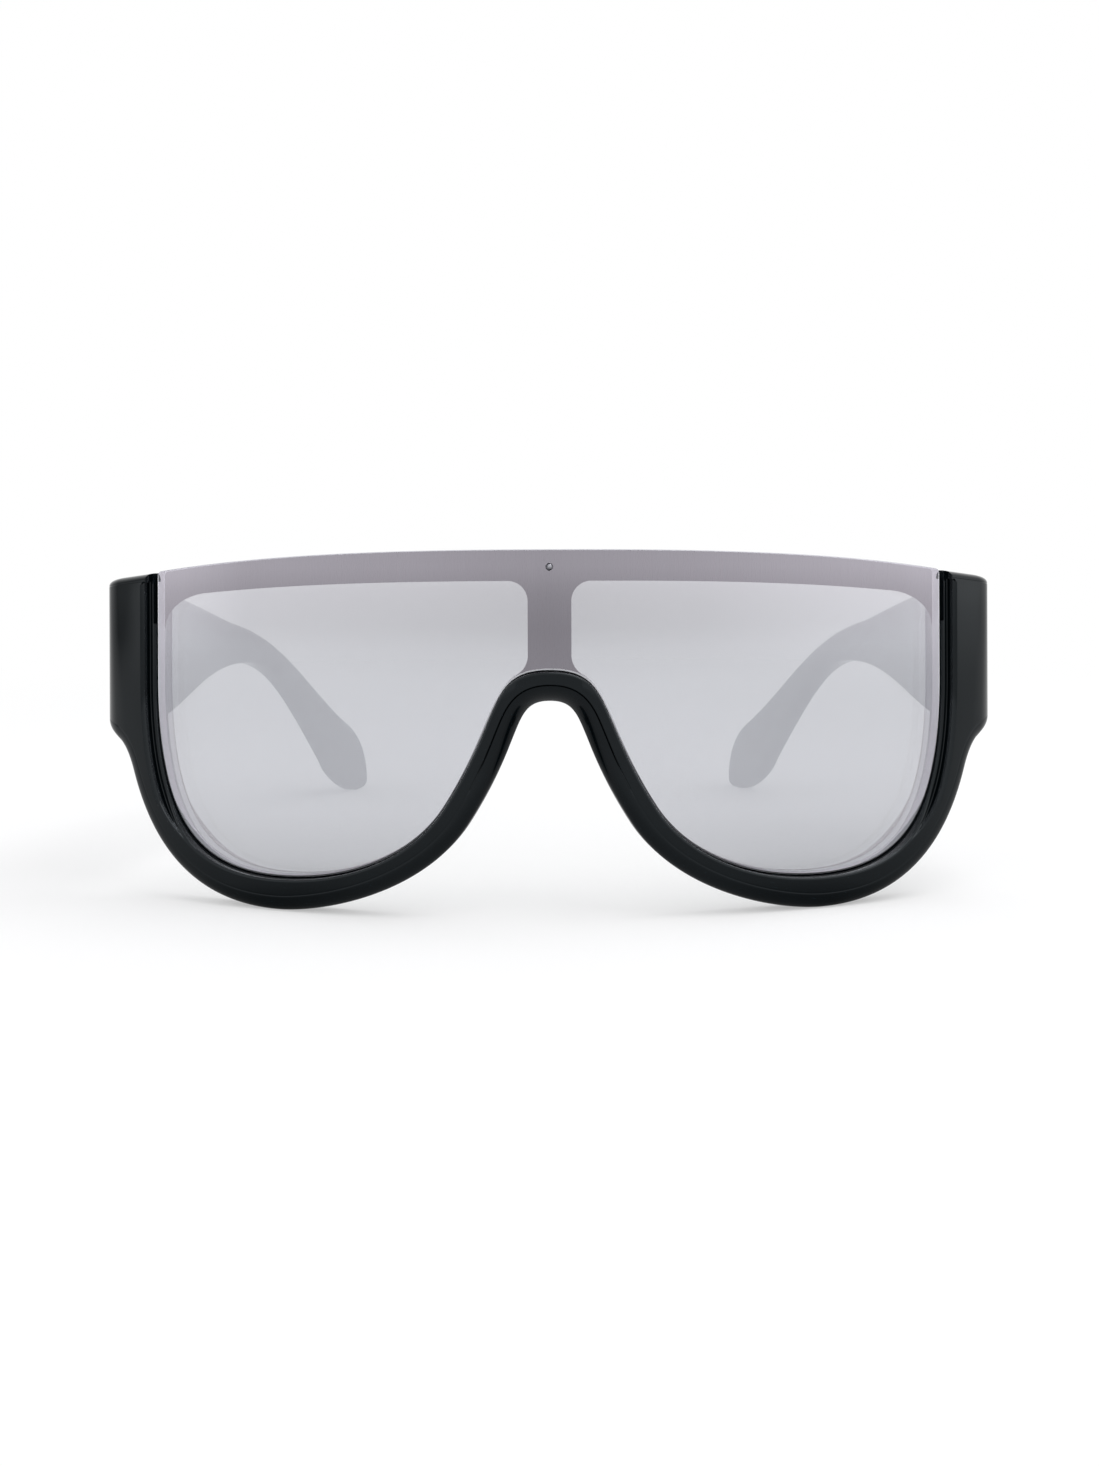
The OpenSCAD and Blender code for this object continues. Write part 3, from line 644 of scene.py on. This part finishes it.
def front_levels():
    """The front's outline, level by level. Round the nose its rounding is longer, under a small step."""
    low = both_sides(RIM_LOW)
    u = RIM_LOW[:, 0]
    top = both_sides(np.column_stack([u, np.where(u > LENS_HALF_W, end_top(u) + end_crown(u), top_z(u))]))
    side = normals(low)
    u = low[:, 0]
    flat = NOSE_FLAT * near_nose(u)
    levels = []
    for a in np.radians(np.linspace(90, 0, 7)):
        d = BACK_ROUND * (1 - math.cos(a))
        w = BACK_W + BACK_ROUND * (1 - math.sin(a))
        levels.append([raised(moved(low, d), w), raised(top - [0, d], w)])
    step = STEP_MIN + NOSE_STEP * near_nose(u)
    in_w = rounding(u, NOSE_ROUND_W, RIM_ROUND_W)
    depth = rounding(u, NOSE_ROUND_D, RIM_ROUND_D) - step
    for a in np.radians(np.linspace(0, 90, 17)):
        turn = (1 - flat) * (1 - math.cos(a)) + flat * a / (math.pi / 2)
        drop = (1 - flat) * (1 - math.sin(a)) + flat * (1 - a / (math.pi / 2))
        top_w = RIM_PROUD - STEP_MIN - (RIM_ROUND_D - STEP_MIN) * (1 - math.sin(a))
        levels.append([raised(low + (in_w * turn)[:, None] * side, RIM_PROUD - step - depth * drop),
                       raised(top - [0, TOP_ROUND_W * (1 - math.cos(a))], top_w)])
    for share, rise in CREST_ROWS:
        levels.append([raised(low + (in_w + CREST_W * share)[:, None] * side, RIM_PROUD - step * (1 - rise)),
                       raised(top - [0, TOP_ROUND_W + CREST_W * share], RIM_PROUD - STEP_MIN * (1 - rise))])
    return levels


def mouth_rows():
    """The recess's mouth, as (distance from the lens's edge, distance ahead of its face): at the rim, and
    beside the lens, where a low bezel and a groove run along it."""
    rim = [(LENS_GAP, -LENS_T), (LENS_GAP, RIM_PROUD - MOUTH_ROUND)]
    for a in np.radians(np.linspace(5, 85, 16)):
        rim.append((LENS_GAP + MOUTH_ROUND * (1 - math.cos(a)),
                    RIM_PROUD - MOUTH_ROUND * (1 - math.sin(a))))
    rim.append((rim[-1][0] + 0.05, RIM_PROUD + PAST))
    side = [(LENS_GAP, -LENS_T)]
    for across, ahead, rows in ((LENS_GAP, BEZEL_PROUD, BEZEL_FOOT), (GROOVE_U, BEZEL_PROUD, BEZEL_EDGE),
                                (GROOVE_U, BEZEL_PROUD - GROOVE_D, GROOVE_FLOOR),
                                (GROOVE_U, RIM_PROUD, GROOVE_WALL)):
        side += [(across + row[0], ahead + row[1]) for row in rows]
    return rim, side


def round_off(x, r):
    """How far a corner of radius r falls away at distance x from its end."""
    return np.where(x >= r, 0.0, r - np.sqrt(np.maximum(r * r - (r - np.minimum(x, r)) ** 2, 0)))


def lens_recess():
    """The recess that the lens lies in, open at the top. The grooves beside the lens end round at the top."""
    open_top = TOP_H + 6.0
    share = np.where(LENS_LOW[:, 0] < LOW_U, 0.0, smooth_over(LENS_LOW[:, 1], BEZEL_RISE))
    levels = []
    for at_rim, at_side in zip(*mouth_rows()):
        d = at_rim[0] + share * (at_side[0] - at_rim[0])
        w = at_rim[1] + share * (at_side[1] - at_rim[1])
        low = both_sides(moved(LENS_LOW, -d))
        w = np.concatenate([w[:0:-1], w])
        u = np.abs(low[:, 0]) - LENS_HALF_W
        off = np.abs(np.clip(u - GROOVE_MID, -GROOVE_END_R, GROOVE_END_R))
        end = GROOVE_TOP - round_off(GROOVE_END_R - off, GROOVE_END_R)
        high = np.where(u < GROOVE_U - 0.02, open_top, end)
        levels.append([raised(low, w), raised(np.column_stack([low[:, 0], high]), w)])
    return slab("recess_cut", levels, front_point)


def window_paths():
    """Lower and upper edges of the right window."""
    first, last = POST_W / 2, LENS_HALF_W - LEDGE_W
    steps = 34 * FINE
    u = first + (last - first) * (1 - np.cos(np.linspace(0, math.pi, steps + 1))) / 2
    ledge = moved(LENS_LOW, LEDGE_W)
    flare_t = np.clip((first + FLARE_W - u) / FLARE_W, 0, 1)
    low = np.interp(u, ledge[:, 0], ledge[:, 1]) + FLARE_H * (1 - np.sqrt(1 - flare_t ** 2))
    bar = BAR_H - BAR_TAPER * (u / LENS_HALF_W) ** 2
    outer = round_off((last - u) / WINDOW_OUT_STRETCH, WINDOW_OUT_R)
    top = top_z(u) - bar - round_off(u - first, WINDOW_IN_R) - outer
    return np.column_stack([u, low]), np.column_stack([u, top])


def window_cut(sign):
    """A window's hole, eased at the back. Its outer end widens towards the back."""
    low, top = window_paths()
    normal_low, normal_top = normals(low), normals(top)
    share_low = smooth_over(low[:, 0], DRAFT_LOW_SPAN)
    share_top = smooth_over(top[:, 0], DRAFT_TOP_SPAN)
    seat = 0.2 - LENS_T
    rows = [(WINDOW_ROUND, BACK_W - PAST)]
    for a in np.radians(np.linspace(80, 10, 5)):
        rows.append((WINDOW_ROUND * (1 - math.cos(a)), BACK_W + WINDOW_ROUND * (1 - math.sin(a))))
    rows += [(0.0, BACK_W + WINDOW_ROUND), (0.0, seat), (0.0, 0.0)]
    levels = []
    for d, w in rows:
        wide = WINDOW_DRAFT * max(seat - w, 0) / (seat - BACK_W + PAST)
        a = low - (d + wide * share_low)[:, None] * normal_low
        b = top + d * normal_top
        b[:, 0] += wide * share_top
        levels.append([raised(a, w), raised(b, w)])
    obj = slab("window_cut", levels, front_point)
    return flipped(obj) if sign < 0 else obj


def leaf_outline(start, end):
    """Outline of a hinge leaf's pocket, from start to end across and as high as the leaf with its gaps."""
    half = LEAF_H / 2 + LEAF_GAP
    return [(end, -half), (end, half), (start, half), (start, -half)]


def leaf_pocket():
    """The pocket in the front's back face for a hinge leaf."""
    half = FRONT_LEAF_L / 2 + LEAF_GAP
    place = at_front(TURN_U - FRONT_LEAF_L / 2, HINGE_H)
    return prism("leaf_cut", leaf_outline(-half, half), -BACK_W - LEAF_T - LEAF_GAP, -BACK_W + PAST, place)


def corner_notch():
    """The wider gap beside the lens's top corner, with a round lower end."""
    width = LENS_GAP + NOTCH_GAP
    low = top_z(LENS_HALF_W) - NOTCH_H - width / 2
    high = TOP_H + 3
    place = at_front(LENS_HALF_W + width / 2, (low + high) / 2)
    return prism("notch_cut", stadium(width, high - low), -RIM_PROUD - PAST, LENS_T, place)


def pin_cut():
    """The bore for the lens's pin in the brow bar."""
    ring = ring_outline(PIN_D / 2 + PIN_CUT_GAP, 40)
    return prism("pin_cut", ring, -RIM_PROUD, -BACK_W - 0.5, at_front(0.0, TOP_H - PIN_DROP))


def build_front():
    """The one-piece front: its outline, less the recess, the bore, the windows, pockets and notches."""
    obj = slab("front_shell", front_levels(), front_point)
    cutters = [lens_recess(), pin_cut(), window_cut(1), window_cut(-1)]
    cutters += [leaf_pocket(), flipped(leaf_pocket()), corner_notch(), flipped(corner_notch())]
    cut(obj, cutters)
    shade(obj, 24)
    finish_piece(obj, BLACK_FRONT, "front", "frame_black", "front_frame")


# The lens


def lens_outline():
    """The lens's right half: its lower edge, with the window's columns among its own, and the window's lower
    and upper edges at each of these columns."""
    window = window_paths()
    own = LENS_LOW[:, 0]
    extra = [u for u in window[0][:, 0] if np.abs(own - u).min() > 0.01]
    u = np.sort(np.concatenate([own, extra]))
    low = np.column_stack([u, np.interp(u, own, LENS_LOW[:, 1])])
    low_z, high_z = (np.interp(u, path[:, 0], path[:, 1]) for path in window)
    return low, np.column_stack([u, np.maximum(low_z, low[:, 1] + 0.2)]), np.column_stack([u, high_z])


def face_material(middle, row):
    """Material of a face at distance middle from the lens's middle, by its row in the column: the outer face,
    then the inner one from below upwards, which is bonded to the post, its foot and the brow bar."""
    in_post = middle < POST_W / 2
    in_foot = middle < POST_W / 2 + FLARE_W
    return (COAT, BAND if in_foot else INSIDE, BAND if in_post else INSIDE, BAND)[row]


def build_lens():
    """The lens as closed loops from the back to the front, its edges eased, in one mesh."""
    half, window_low, window_top = lens_outline()
    low = both_sides(half)
    n = len(low)
    corners = round_off(LENS_HALF_W - np.abs(low[:, 0]), LENS_CORNER_R)
    top = np.column_stack([low[:, 0], top_z(low[:, 0]) - corners])
    ease = LENS_EASE
    back_rows = [(ease, ease, -LENS_T), (ease * 0.3, ease * 0.3, -LENS_T + ease * 0.3),
                 (0, 0, -LENS_T + ease)]
    levels = []
    for d_low, d_top, w in back_rows + LENS_BEVEL:
        a = moved(low, d_low)
        b = top - d_top * normals(top)
        b[:, 0] = np.clip(b[:, 0], -(LENS_HALF_W - d_low), LENS_HALF_W - d_low)
        levels.append([raised(a, w), raised(b, w)])
    last = LENS_HALF_W - LEDGE_W
    lines = []
    for path in (window_low, window_top):
        line = both_sides(path)
        u = np.abs(line[:, 0])
        eased = last + (u - last) * (LEDGE_W - ease) / LEDGE_W
        line[:, 0] = np.sign(line[:, 0]) * np.where(u > last, eased, u)
        lines.append(raised(line, -LENS_T))
    obj = slab("lens_shield", levels, front_point, lines)
    for mat in LENS_FACES:
        obj.data.materials.append(mat)
    middle = np.abs(low[:-1, 0] + low[1:, 0]) / 2
    sides = 4 * (n - 1)
    bevel = sides + 4 * (2 * (n - 1) + 2)
    for i, face in enumerate(obj.data.polygons):
        if i < sides:
            column, row = divmod(i, 4)
            face.material_index = face_material(middle[column], row)
        else:
            own_low = i >= bevel and (i - bevel >= 2 * (n - 1) or i % 2 == 0)
            face.material_index = BEVEL if own_low else EDGE
    hole = prism("hole_cut", ring_outline(PIN_D / 2 + PIN_LENS_GAP, 48), -PAST, LENS_T + PAST,
                 at_front(0.0, TOP_H - PIN_DROP))
    hole.data.materials.append(LENS_FACES[EDGE])
    cut(obj, [hole])
    shade(obj, 20)
    true_normals(obj)
    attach(obj, "front")
    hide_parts("shield_lens")


def true_normals(obj):
    """Gives the lens's outer and inner face the exact normals of their cylinder."""
    mesh = obj.data
    found = np.array([tuple(corner.vector) for corner in mesh.corner_normals])
    axis = np.array([0.0, (FRONT_Y + RIM_PROUD + LENS_R) * MM])
    for face in mesh.polygons:
        if face.material_index in (COAT, INSIDE, BAND):
            for loop in face.loop_indices:
                out = np.array(mesh.vertices[mesh.loops[loop].vertex_index].co[:2]) - axis
                out /= np.linalg.norm(out)
                way = 1 if np.dot(out, face.normal[:2]) > 0 else -1
                found[loop] = (way * out[0], way * out[1], 0)
    mesh.normals_split_custom_set(found.tolist())


def revolve(name, profile, place, steps=48):
    """A turned piece: a profile of (radius, height) round local -Y, which points ahead of the front."""
    points = [place @ Vector((x, -h, z)) for r, h in profile for x, z in ring_outline(r, steps)]
    faces = []
    for k in range(len(profile) - 1):
        for i in range(steps):
            j = (i + 1) % steps
            faces.append(((k + 1) * steps + i, (k + 1) * steps + j, k * steps + j, k * steps + i))
    faces.append(tuple(range(steps)))
    faces.append(tuple(range(len(profile) * steps - 1, (len(profile) - 1) * steps - 1, -1)))
    return mesh_object(name, np.array([tuple(p) for p in points]), faces)


def build_pin():
    """The lens's pin: a domed head with a turned groove near its edge."""
    r = PIN_D / 2
    shank = LENS_T + LEDGE_T - PIN_SHORT
    cap_r = (r * r + PIN_HEAD_H * PIN_HEAD_H) / 2 / PIN_HEAD_H
    profile = [(r, -shank), (r, -0.02), (r * 0.97, 0.0)]
    for share in np.linspace(0.94, 0.02, 14):
        groove = 0.05 if 0.62 < share < 0.72 else 0.0
        profile.append((r * share, PIN_HEAD_H - cap_r + math.sqrt(cap_r ** 2 - (r * share) ** 2) - groove))
    obj = revolve("pin_head", profile, at_front(0.0, TOP_H - PIN_DROP))
    shade(obj, 50)
    finish_piece(obj, PIN_METAL, "front", "pin_metal", "lens_pin")


# The temples


def temple_paths():
    """Lower and upper edges of the temple: joint, neck, bend behind the ear and paddle."""
    tip = np.array([TEMPLE_RUN, TIP_H])
    flat = np.array([0, TIP_FLAT])
    ear_top, ear_low, sole = (np.array(point) for point in (EAR_TOP, EAR_LOW, SOLE))
    up = np.array([NECK_RUN, NECK_TOP])
    down = np.array([NECK_RUN + NECK_SHIFT, NECK_LOW])
    top = np.concatenate([
        span([0, JOINT_TOP + end_crown(END_U)], [JOINT_PULL[0], JOINT_TOP + JOINT_PULL[1]],
             up + [-NECK_PULL[0], NECK_BEND[0]], up, 10),
        span(up, up + [NECK_PULL[1], NECK_BEND[1]], ear_top + EAR_PULL[0], ear_top, 14),
        span(ear_top, ear_top + EAR_PULL[1], tip + [0, TIP_PULL[0]], tip + flat, 9),
        [tip + flat]])
    low = np.concatenate([
        span([0, END_LOW], [JOINT_PULL[0], END_LOW], down - [NECK_PULL[0], 0], down, 10),
        span(down, down + [NECK_PULL[2], 0], ear_low + EAR_LOW_PULL[0], ear_low, 12),
        span(ear_low, ear_low + EAR_LOW_PULL[1], sole - [SOLE_PULL[0], 0], sole, 6),
        span(sole, sole + [SOLE_PULL[1], 0], tip - [0, TIP_PULL[1]], tip - flat, 5),
        [tip - flat]])
    return low, top


def build_temple(side):
    """A temple, rounded along all its edges, with the pocket for its hinge leaf."""
    low, top = temple_paths()
    levels = []
    steps = np.radians(np.linspace(90, 0, 9))
    for face, way, angles in ((0.0, 1, steps), (1.0, -1, steps[::-1])):
        for a in angles:
            d = TEMPLE_ROUND * (1 - math.cos(a))
            w = face + way * TEMPLE_ROUND * (1 - math.sin(a)) / FRONT_T
            levels.append([raised(moved(low, d), w), raised(moved(top, -d), w)])
    obj = slab("temple_%s_shell" % side, levels, temple_point)
    pocket = prism("pocket_cut", leaf_outline(-PAST, LEAF_T + LEAF_GAP), TEMPLE_LEAF_FROM - LEAF_GAP,
                   TEMPLE_LEAF_FROM + TEMPLE_LEAF_L + LEAF_GAP, at_temple(HINGE_H))
    cut(obj, [pocket])
    if side == "left":
        flipped(obj)
    shade(obj, 24)
    name = "temple_" + side
    finish_piece(obj, BLACK_TEMPLE, name, "temple_black", name)


# The nose pads


def build_pad(side):
    """A nose pad: a narrow foot in the rim, a bulge beside the nose, and a rounded ridge behind it."""
    flank = RIM_LOW[:20 * FINE][::-1]
    high, low, middle = (float(np.interp(PAD_H + way * PAD_L / 2, flank[:, 1], flank[:, 0]))
                         for way in (1, -1, 0))
    tilt = math.atan((low - high) / PAD_L)
    u = middle + (PAD_EDGE_GAP + PAD_FOOT * PAD_W / 2) / math.cos(tilt)
    place = np.array(at_front(u, PAD_H) @ Matrix.Translation((0, -BACK_W - PAD_SINK, 0))
                     @ Matrix.Rotation(-tilt, 4, "Y"))
    swept = PAD_REACH + PAD_SINK
    angles = np.radians(np.linspace(-86, 86, 61))
    rows = [(PAD_L, PAD_W * PAD_FOOT, 0.0, 0.0)]
    for t in np.linspace(0, 1, 25) ** 0.8:
        thin = math.sqrt(max(1 - 0.95 * t ** 3, 0))
        full = PAD_FOOT + (1 - PAD_FOOT) * float(smooth(2.5 * t))
        rows.append((PAD_L * (0.8 + 0.2 * thin), PAD_W * full * thin * (1 - 0.2 * t),
                     PAD_SPLAY * float(smooth(t)), PAD_FOOT_H + (swept - PAD_FOOT_H) * t))
    levels = []
    for length, width, out, back in rows:
        z = length / 2 * np.sin(angles)
        half = width / 2 * np.cos(angles) ** 0.7
        levels.append([np.column_stack([z, out + way * half, np.full(len(z), back)]) for way in (-1, 1)])

    def put(p):
        local = np.column_stack([p[:, 1], p[:, 2], p[:, 0], np.ones(len(p))])
        return (local @ place.T)[:, :3]

    obj = slab("pad_" + side, levels, put)
    if side == "left":
        flipped(obj)
    shade(obj, 40)
    finish_piece(obj, BLACK_PAD, "front", "pad_black", "nose_pad_" + side)


# The hinges


def eased_copy(node, name, material, body, slot_name, width, degrees=30):
    """A copy of a metal solid with its sharp edges eased, which stands for it."""
    obj = bpy.data.objects.new(name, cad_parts[node].data.copy())
    bpy.context.scene.collection.objects.link(obj)
    weld = obj.modifiers.new("weld", "WELD")
    weld.merge_threshold = WELD_GAP * MM
    flat = obj.modifiers.new("flat", "DECIMATE")
    flat.decimate_type = "DISSOLVE"
    flat.angle_limit = math.radians(1)
    ease = obj.modifiers.new("ease", "BEVEL")
    ease.width = width * MM
    ease.segments = 2
    ease.limit_method = "ANGLE"
    ease.angle_limit = math.radians(degrees)
    depsgraph = bpy.context.evaluated_depsgraph_get()
    obj.data = bpy.data.meshes.new_from_object(obj.evaluated_get(depsgraph))
    obj.modifiers.clear()
    shade(obj, degrees)
    finish_piece(obj, material, body, slot_name, node)


build_front()
build_lens()
build_pin()
for side in ("left", "right"):
    build_temple(side)
    build_pad(side)
    for kind, material, body, slot_name, width in (
            ("front", HINGE_METAL, "front", "hinge_metal", HINGE_EASE),
            ("temple", HINGE_METAL, "temple_" + side, "hinge_metal", HINGE_EASE),
            ("screw", SCREW_METAL, "front", "screw_metal", SCREW_EASE)):
        node = "hinge_%s_%s" % (kind, side)
        eased_copy(node, node + "_metal", material, body, slot_name, width)
    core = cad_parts["temple_core_" + side]
    core.data.materials.clear()
    core.data.materials.append(CORE_METAL)


# Floor, world, light and camera. Places here are in metres from the middle of the glasses' ground.

WHITE = (1, 1, 1, 1)
FLOOR_HALF = 6.0
FLOOR_WHITE = (0.96, 0.96, 0.96, 1)
# For the eye the floor fades to plain white between these distances, from this share of white close by
FADE = (0.10, 0.5)
FADE_LOW = 0.42
FILL = 0.85
FILL_COLOUR = (0.98, 0.985, 1.0, 1)
LAMP_PLACE = (0.32, -0.1, 0.85)
LAMP_SIZE = (0.8, 0.6)
LAMP_WATTS = 3.0

# Tone of the studio that gloss sees, by degrees from straight ahead of the glasses, to their left
STUDIO_TONES = [(-180, 1.0), (-140, 1.2), (-105, 0.95), (-88, 0.45), (-83, 0.60), (-79, 1.5), (-75, 1.62),
                (-67, 1.46), (-57, 1.23), (-27, 1.15), (0, 1.03), (27, 1.16), (57, 1.42), (67, 1.48),
                (75, 1.65), (84, 1.55), (92, 1.2), (110, 1.05), (140, 1.2), (180, 1.0)]
BRIGHTEST = 2.0
# The floor's gloss tone close to the glasses, by distance: it glows, and its dimness close by is a dim room
# and painted shade round the glasses
NEAR_REACH = 0.6
NEAR_TONES = [(0.06, 0.40), (0.084, 0.46), (0.12, 0.65), (0.17, 0.77), (0.24, 0.80), (0.55, 0.77)]
# Where the rims touch the floor, as |x| and |y|, and how far the painted shadow round them reaches in the
# floor's gloss tone
CONTACT = (0.045, 0.062, 0)
CONTACT_PAINTED_SHADOW = (-0.012, 0.024)
# The share of the studio's tone that the floor has further out, by distance
FAR_REACH = 4.0
FAR_TONES = [(0.9, 0.70), (1.42, 0.78), (2.3, 0.92), (3.3, 1.0)]
# Distances between which the near tones give way to the far ones
NEAR_TO_FAR = (0.35, 1.0)


def studio_node(tree, kind, *values, **settings):
    """A new node. Each value is an output to link to the node's next input, or a plain value for it."""
    node = tree.nodes.new("ShaderNode" + kind)
    for key, value in settings.items():
        setattr(node, key, value)
    for socket, value in zip(node.inputs, values):
        if isinstance(value, bpy.types.NodeSocket):
            tree.links.new(value, socket)
        else:
            socket.default_value = value
    return node


def tone_ramp(tree, factor, stops):
    """A grey ramp over a factor. Stops are (position, tone)."""
    node = studio_node(tree, "ValToRGB", factor)
    for element, (position, tone) in zip(node.color_ramp.elements, (stops[0], stops[-1])):
        element.position, element.color = position, (tone, tone, tone, 1)
    for position, tone in stops[1:-1]:
        node.color_ramp.elements.new(position).color = (tone, tone, tone, 1)
    return node.outputs["Color"]


def share_between(tree, value, start, end, kind="LINEAR", low=0.0):
    """The value's share of the way from start to end, from low to 1, and held there outside."""
    return studio_node(tree, "MapRange", value, start, end, low, interpolation_type=kind).outputs["Result"]


def studio_tone(tree, vector):
    """Brightness that gloss sees, by compass direction round the object: a dim room ahead, white behind."""
    parts = studio_node(tree, "SeparateXYZ", vector)
    ahead = studio_node(tree, "Math", parts.outputs["Y"], -1, operation="MULTIPLY")
    angle = studio_node(tree, "Math", parts.outputs["X"], ahead.outputs[0], operation="ARCTAN2")
    return tone_ramp(tree, share_between(tree, angle.outputs[0], -math.pi, math.pi),
                     [((degrees + 180) / 360, tone / BRIGHTEST) for degrees, tone in STUDIO_TONES])


def for_rays(tree, operation, first, second):
    """Two outputs of the Light Path node, put together and kept between 0 and 1."""
    path = studio_node(tree, "LightPath")
    node = studio_node(tree, "Math", path.outputs[first], path.outputs[second], operation=operation,
                       use_clamp=True)
    return node.outputs[0]


def seen_through(tree):
    """1 for a ray from the camera, or one that passed through something."""
    return for_rays(tree, "MAXIMUM", "Is Camera Ray", "Is Transmission Ray")


def studio_output(tree, kind, plain, white, white_share, gloss):
    """Puts together what the floor or the world shows: its plain self, white for the eye, and gloss tones."""
    eye = studio_node(tree, "MixShader", white_share, plain.outputs[0], white.outputs[0])
    mirrored = for_rays(tree, "SUBTRACT", "Is Glossy Ray", "Is Transmission Ray")
    final = studio_node(tree, "MixShader", mirrored, eye.outputs[0], gloss.outputs[0])
    studio_node(tree, kind, final.outputs[0])


def build_floor():
    """The floor: it keeps the shadow close by, and its tones in the gloss change with distance and carry a
    painted shadow round the rims' feet.
    """
    half = FLOOR_HALF
    mesh = bpy.data.meshes.new("floor")
    mesh.from_pydata([(-half, -half, 0), (half, -half, 0), (half, half, 0), (-half, half, 0)], [],
                     [(0, 1, 2, 3)])
    floor = bpy.data.objects.new("floor", mesh)
    bpy.context.scene.collection.objects.link(floor)
    mat = bpy.data.materials.new("floor_white")
    mat.use_nodes = True
    tree = mat.node_tree
    tree.nodes.clear()
    spot = studio_node(tree, "TexCoord").outputs["Object"]
    far = studio_node(tree, "VectorMath", spot, operation="LENGTH").outputs["Value"]
    near = tone_ramp(tree, share_between(tree, far, 0.0, NEAR_REACH),
                     [(metres / NEAR_REACH, tone / BRIGHTEST) for metres, tone in NEAR_TONES])
    # The glowing gloss tone is darkened round the rims' feet: a painted shadow, since it keeps no real one
    folded = studio_node(tree, "VectorMath", spot, operation="ABSOLUTE")
    contact = studio_node(tree, "VectorMath", folded.outputs[0], CONTACT, operation="DISTANCE")
    painted_rim_shadow = share_between(tree, contact.outputs["Value"], *CONTACT_PAINTED_SHADOW)
    shaded = studio_node(tree, "VectorMath", near, painted_rim_shadow, operation="MULTIPLY")
    fall = tone_ramp(tree, share_between(tree, far, 0.0, FAR_REACH),
                     [(metres / FAR_REACH, tone) for metres, tone in FAR_TONES])
    room = studio_node(tree, "VectorMath", studio_tone(tree, spot), fall, operation="MULTIPLY")
    outer = share_between(tree, far, *NEAR_TO_FAR, "SMOOTHSTEP")
    ground = studio_node(tree, "Mix", outer, data_type="VECTOR")
    tree.links.new(shaded.outputs[0], ground.inputs[4])
    tree.links.new(room.outputs[0], ground.inputs[5])
    fade = share_between(tree, far, *FADE, "SMOOTHSTEP", low=FADE_LOW)
    clear = studio_node(tree, "Math", fade, seen_through(tree), operation="MULTIPLY")
    studio_output(tree, "OutputMaterial", studio_node(tree, "BsdfDiffuse", FLOOR_WHITE),
                  studio_node(tree, "Emission", WHITE), clear.outputs[0],
                  studio_node(tree, "Emission", ground.outputs[1], BRIGHTEST))
    floor.data.materials.append(mat)


def build_world():
    """The world: a plain pale fill, white for the eye, and the studio's tones for gloss."""
    world = bpy.data.worlds.new("studio")
    world.use_nodes = True
    bpy.context.scene.world = world
    tree = world.node_tree
    tree.nodes.clear()
    tone = studio_tone(tree, studio_node(tree, "TexCoord").outputs["Generated"])
    studio_output(tree, "OutputWorld", studio_node(tree, "Background", FILL_COLOUR, FILL),
                  studio_node(tree, "Background", WHITE), seen_through(tree),
                  studio_node(tree, "Background", tone, BRIGHTEST))


def build_lamp():
    """One wide, soft lamp overhead, turned to the glasses."""
    data = bpy.data.lights.new("overhead", "AREA")
    data.shape = "RECTANGLE"
    data.size, data.size_y = LAMP_SIZE
    data.energy = LAMP_WATTS
    lamp = bpy.data.objects.new("overhead", data)
    bpy.context.scene.collection.objects.link(lamp)
    lamp.location = LAMP_PLACE
    lamp.rotation_euler = (-Vector(LAMP_PLACE)).to_track_quat("-Z", "Y").to_euler()


def build_camera():
    """The photograph's view: level, low, close, with the horizon well above the middle of the frame."""
    frame_w, frame_h = 1099, 1466
    focal_px = 1687
    horizon_px = 538
    axis_px = 551.5
    distance = 263.0
    side = -1.0
    height = 59.77
    yaw = math.radians(0.293)
    roll = math.radians(-0.212)
    sensor = 24.0
    data = bpy.data.cameras.new("camera")
    data.sensor_fit = "VERTICAL"
    data.sensor_height = sensor
    data.lens = focal_px / frame_h * sensor
    data.shift_x = (frame_w / 2 - axis_px) / frame_h
    data.shift_y = -(frame_h / 2 - horizon_px) / frame_h
    data.clip_start = 0.01
    camera = bpy.data.objects.new("camera", data)
    bpy.context.scene.collection.objects.link(camera)
    turn = (Matrix.Rotation(-yaw, 4, "Z") @ Matrix.Rotation(math.pi / 2, 4, "X")
            @ Matrix.Rotation(roll, 4, "Z"))
    camera.rotation_euler = turn.to_euler()
    camera.location = (side * MM, (FRONT_Y - distance) * MM, height * MM)
    bpy.context.scene.camera = camera


build_floor()
build_world()
build_lamp()
build_camera()
bpy.context.scene.view_settings.view_transform = "Standard"
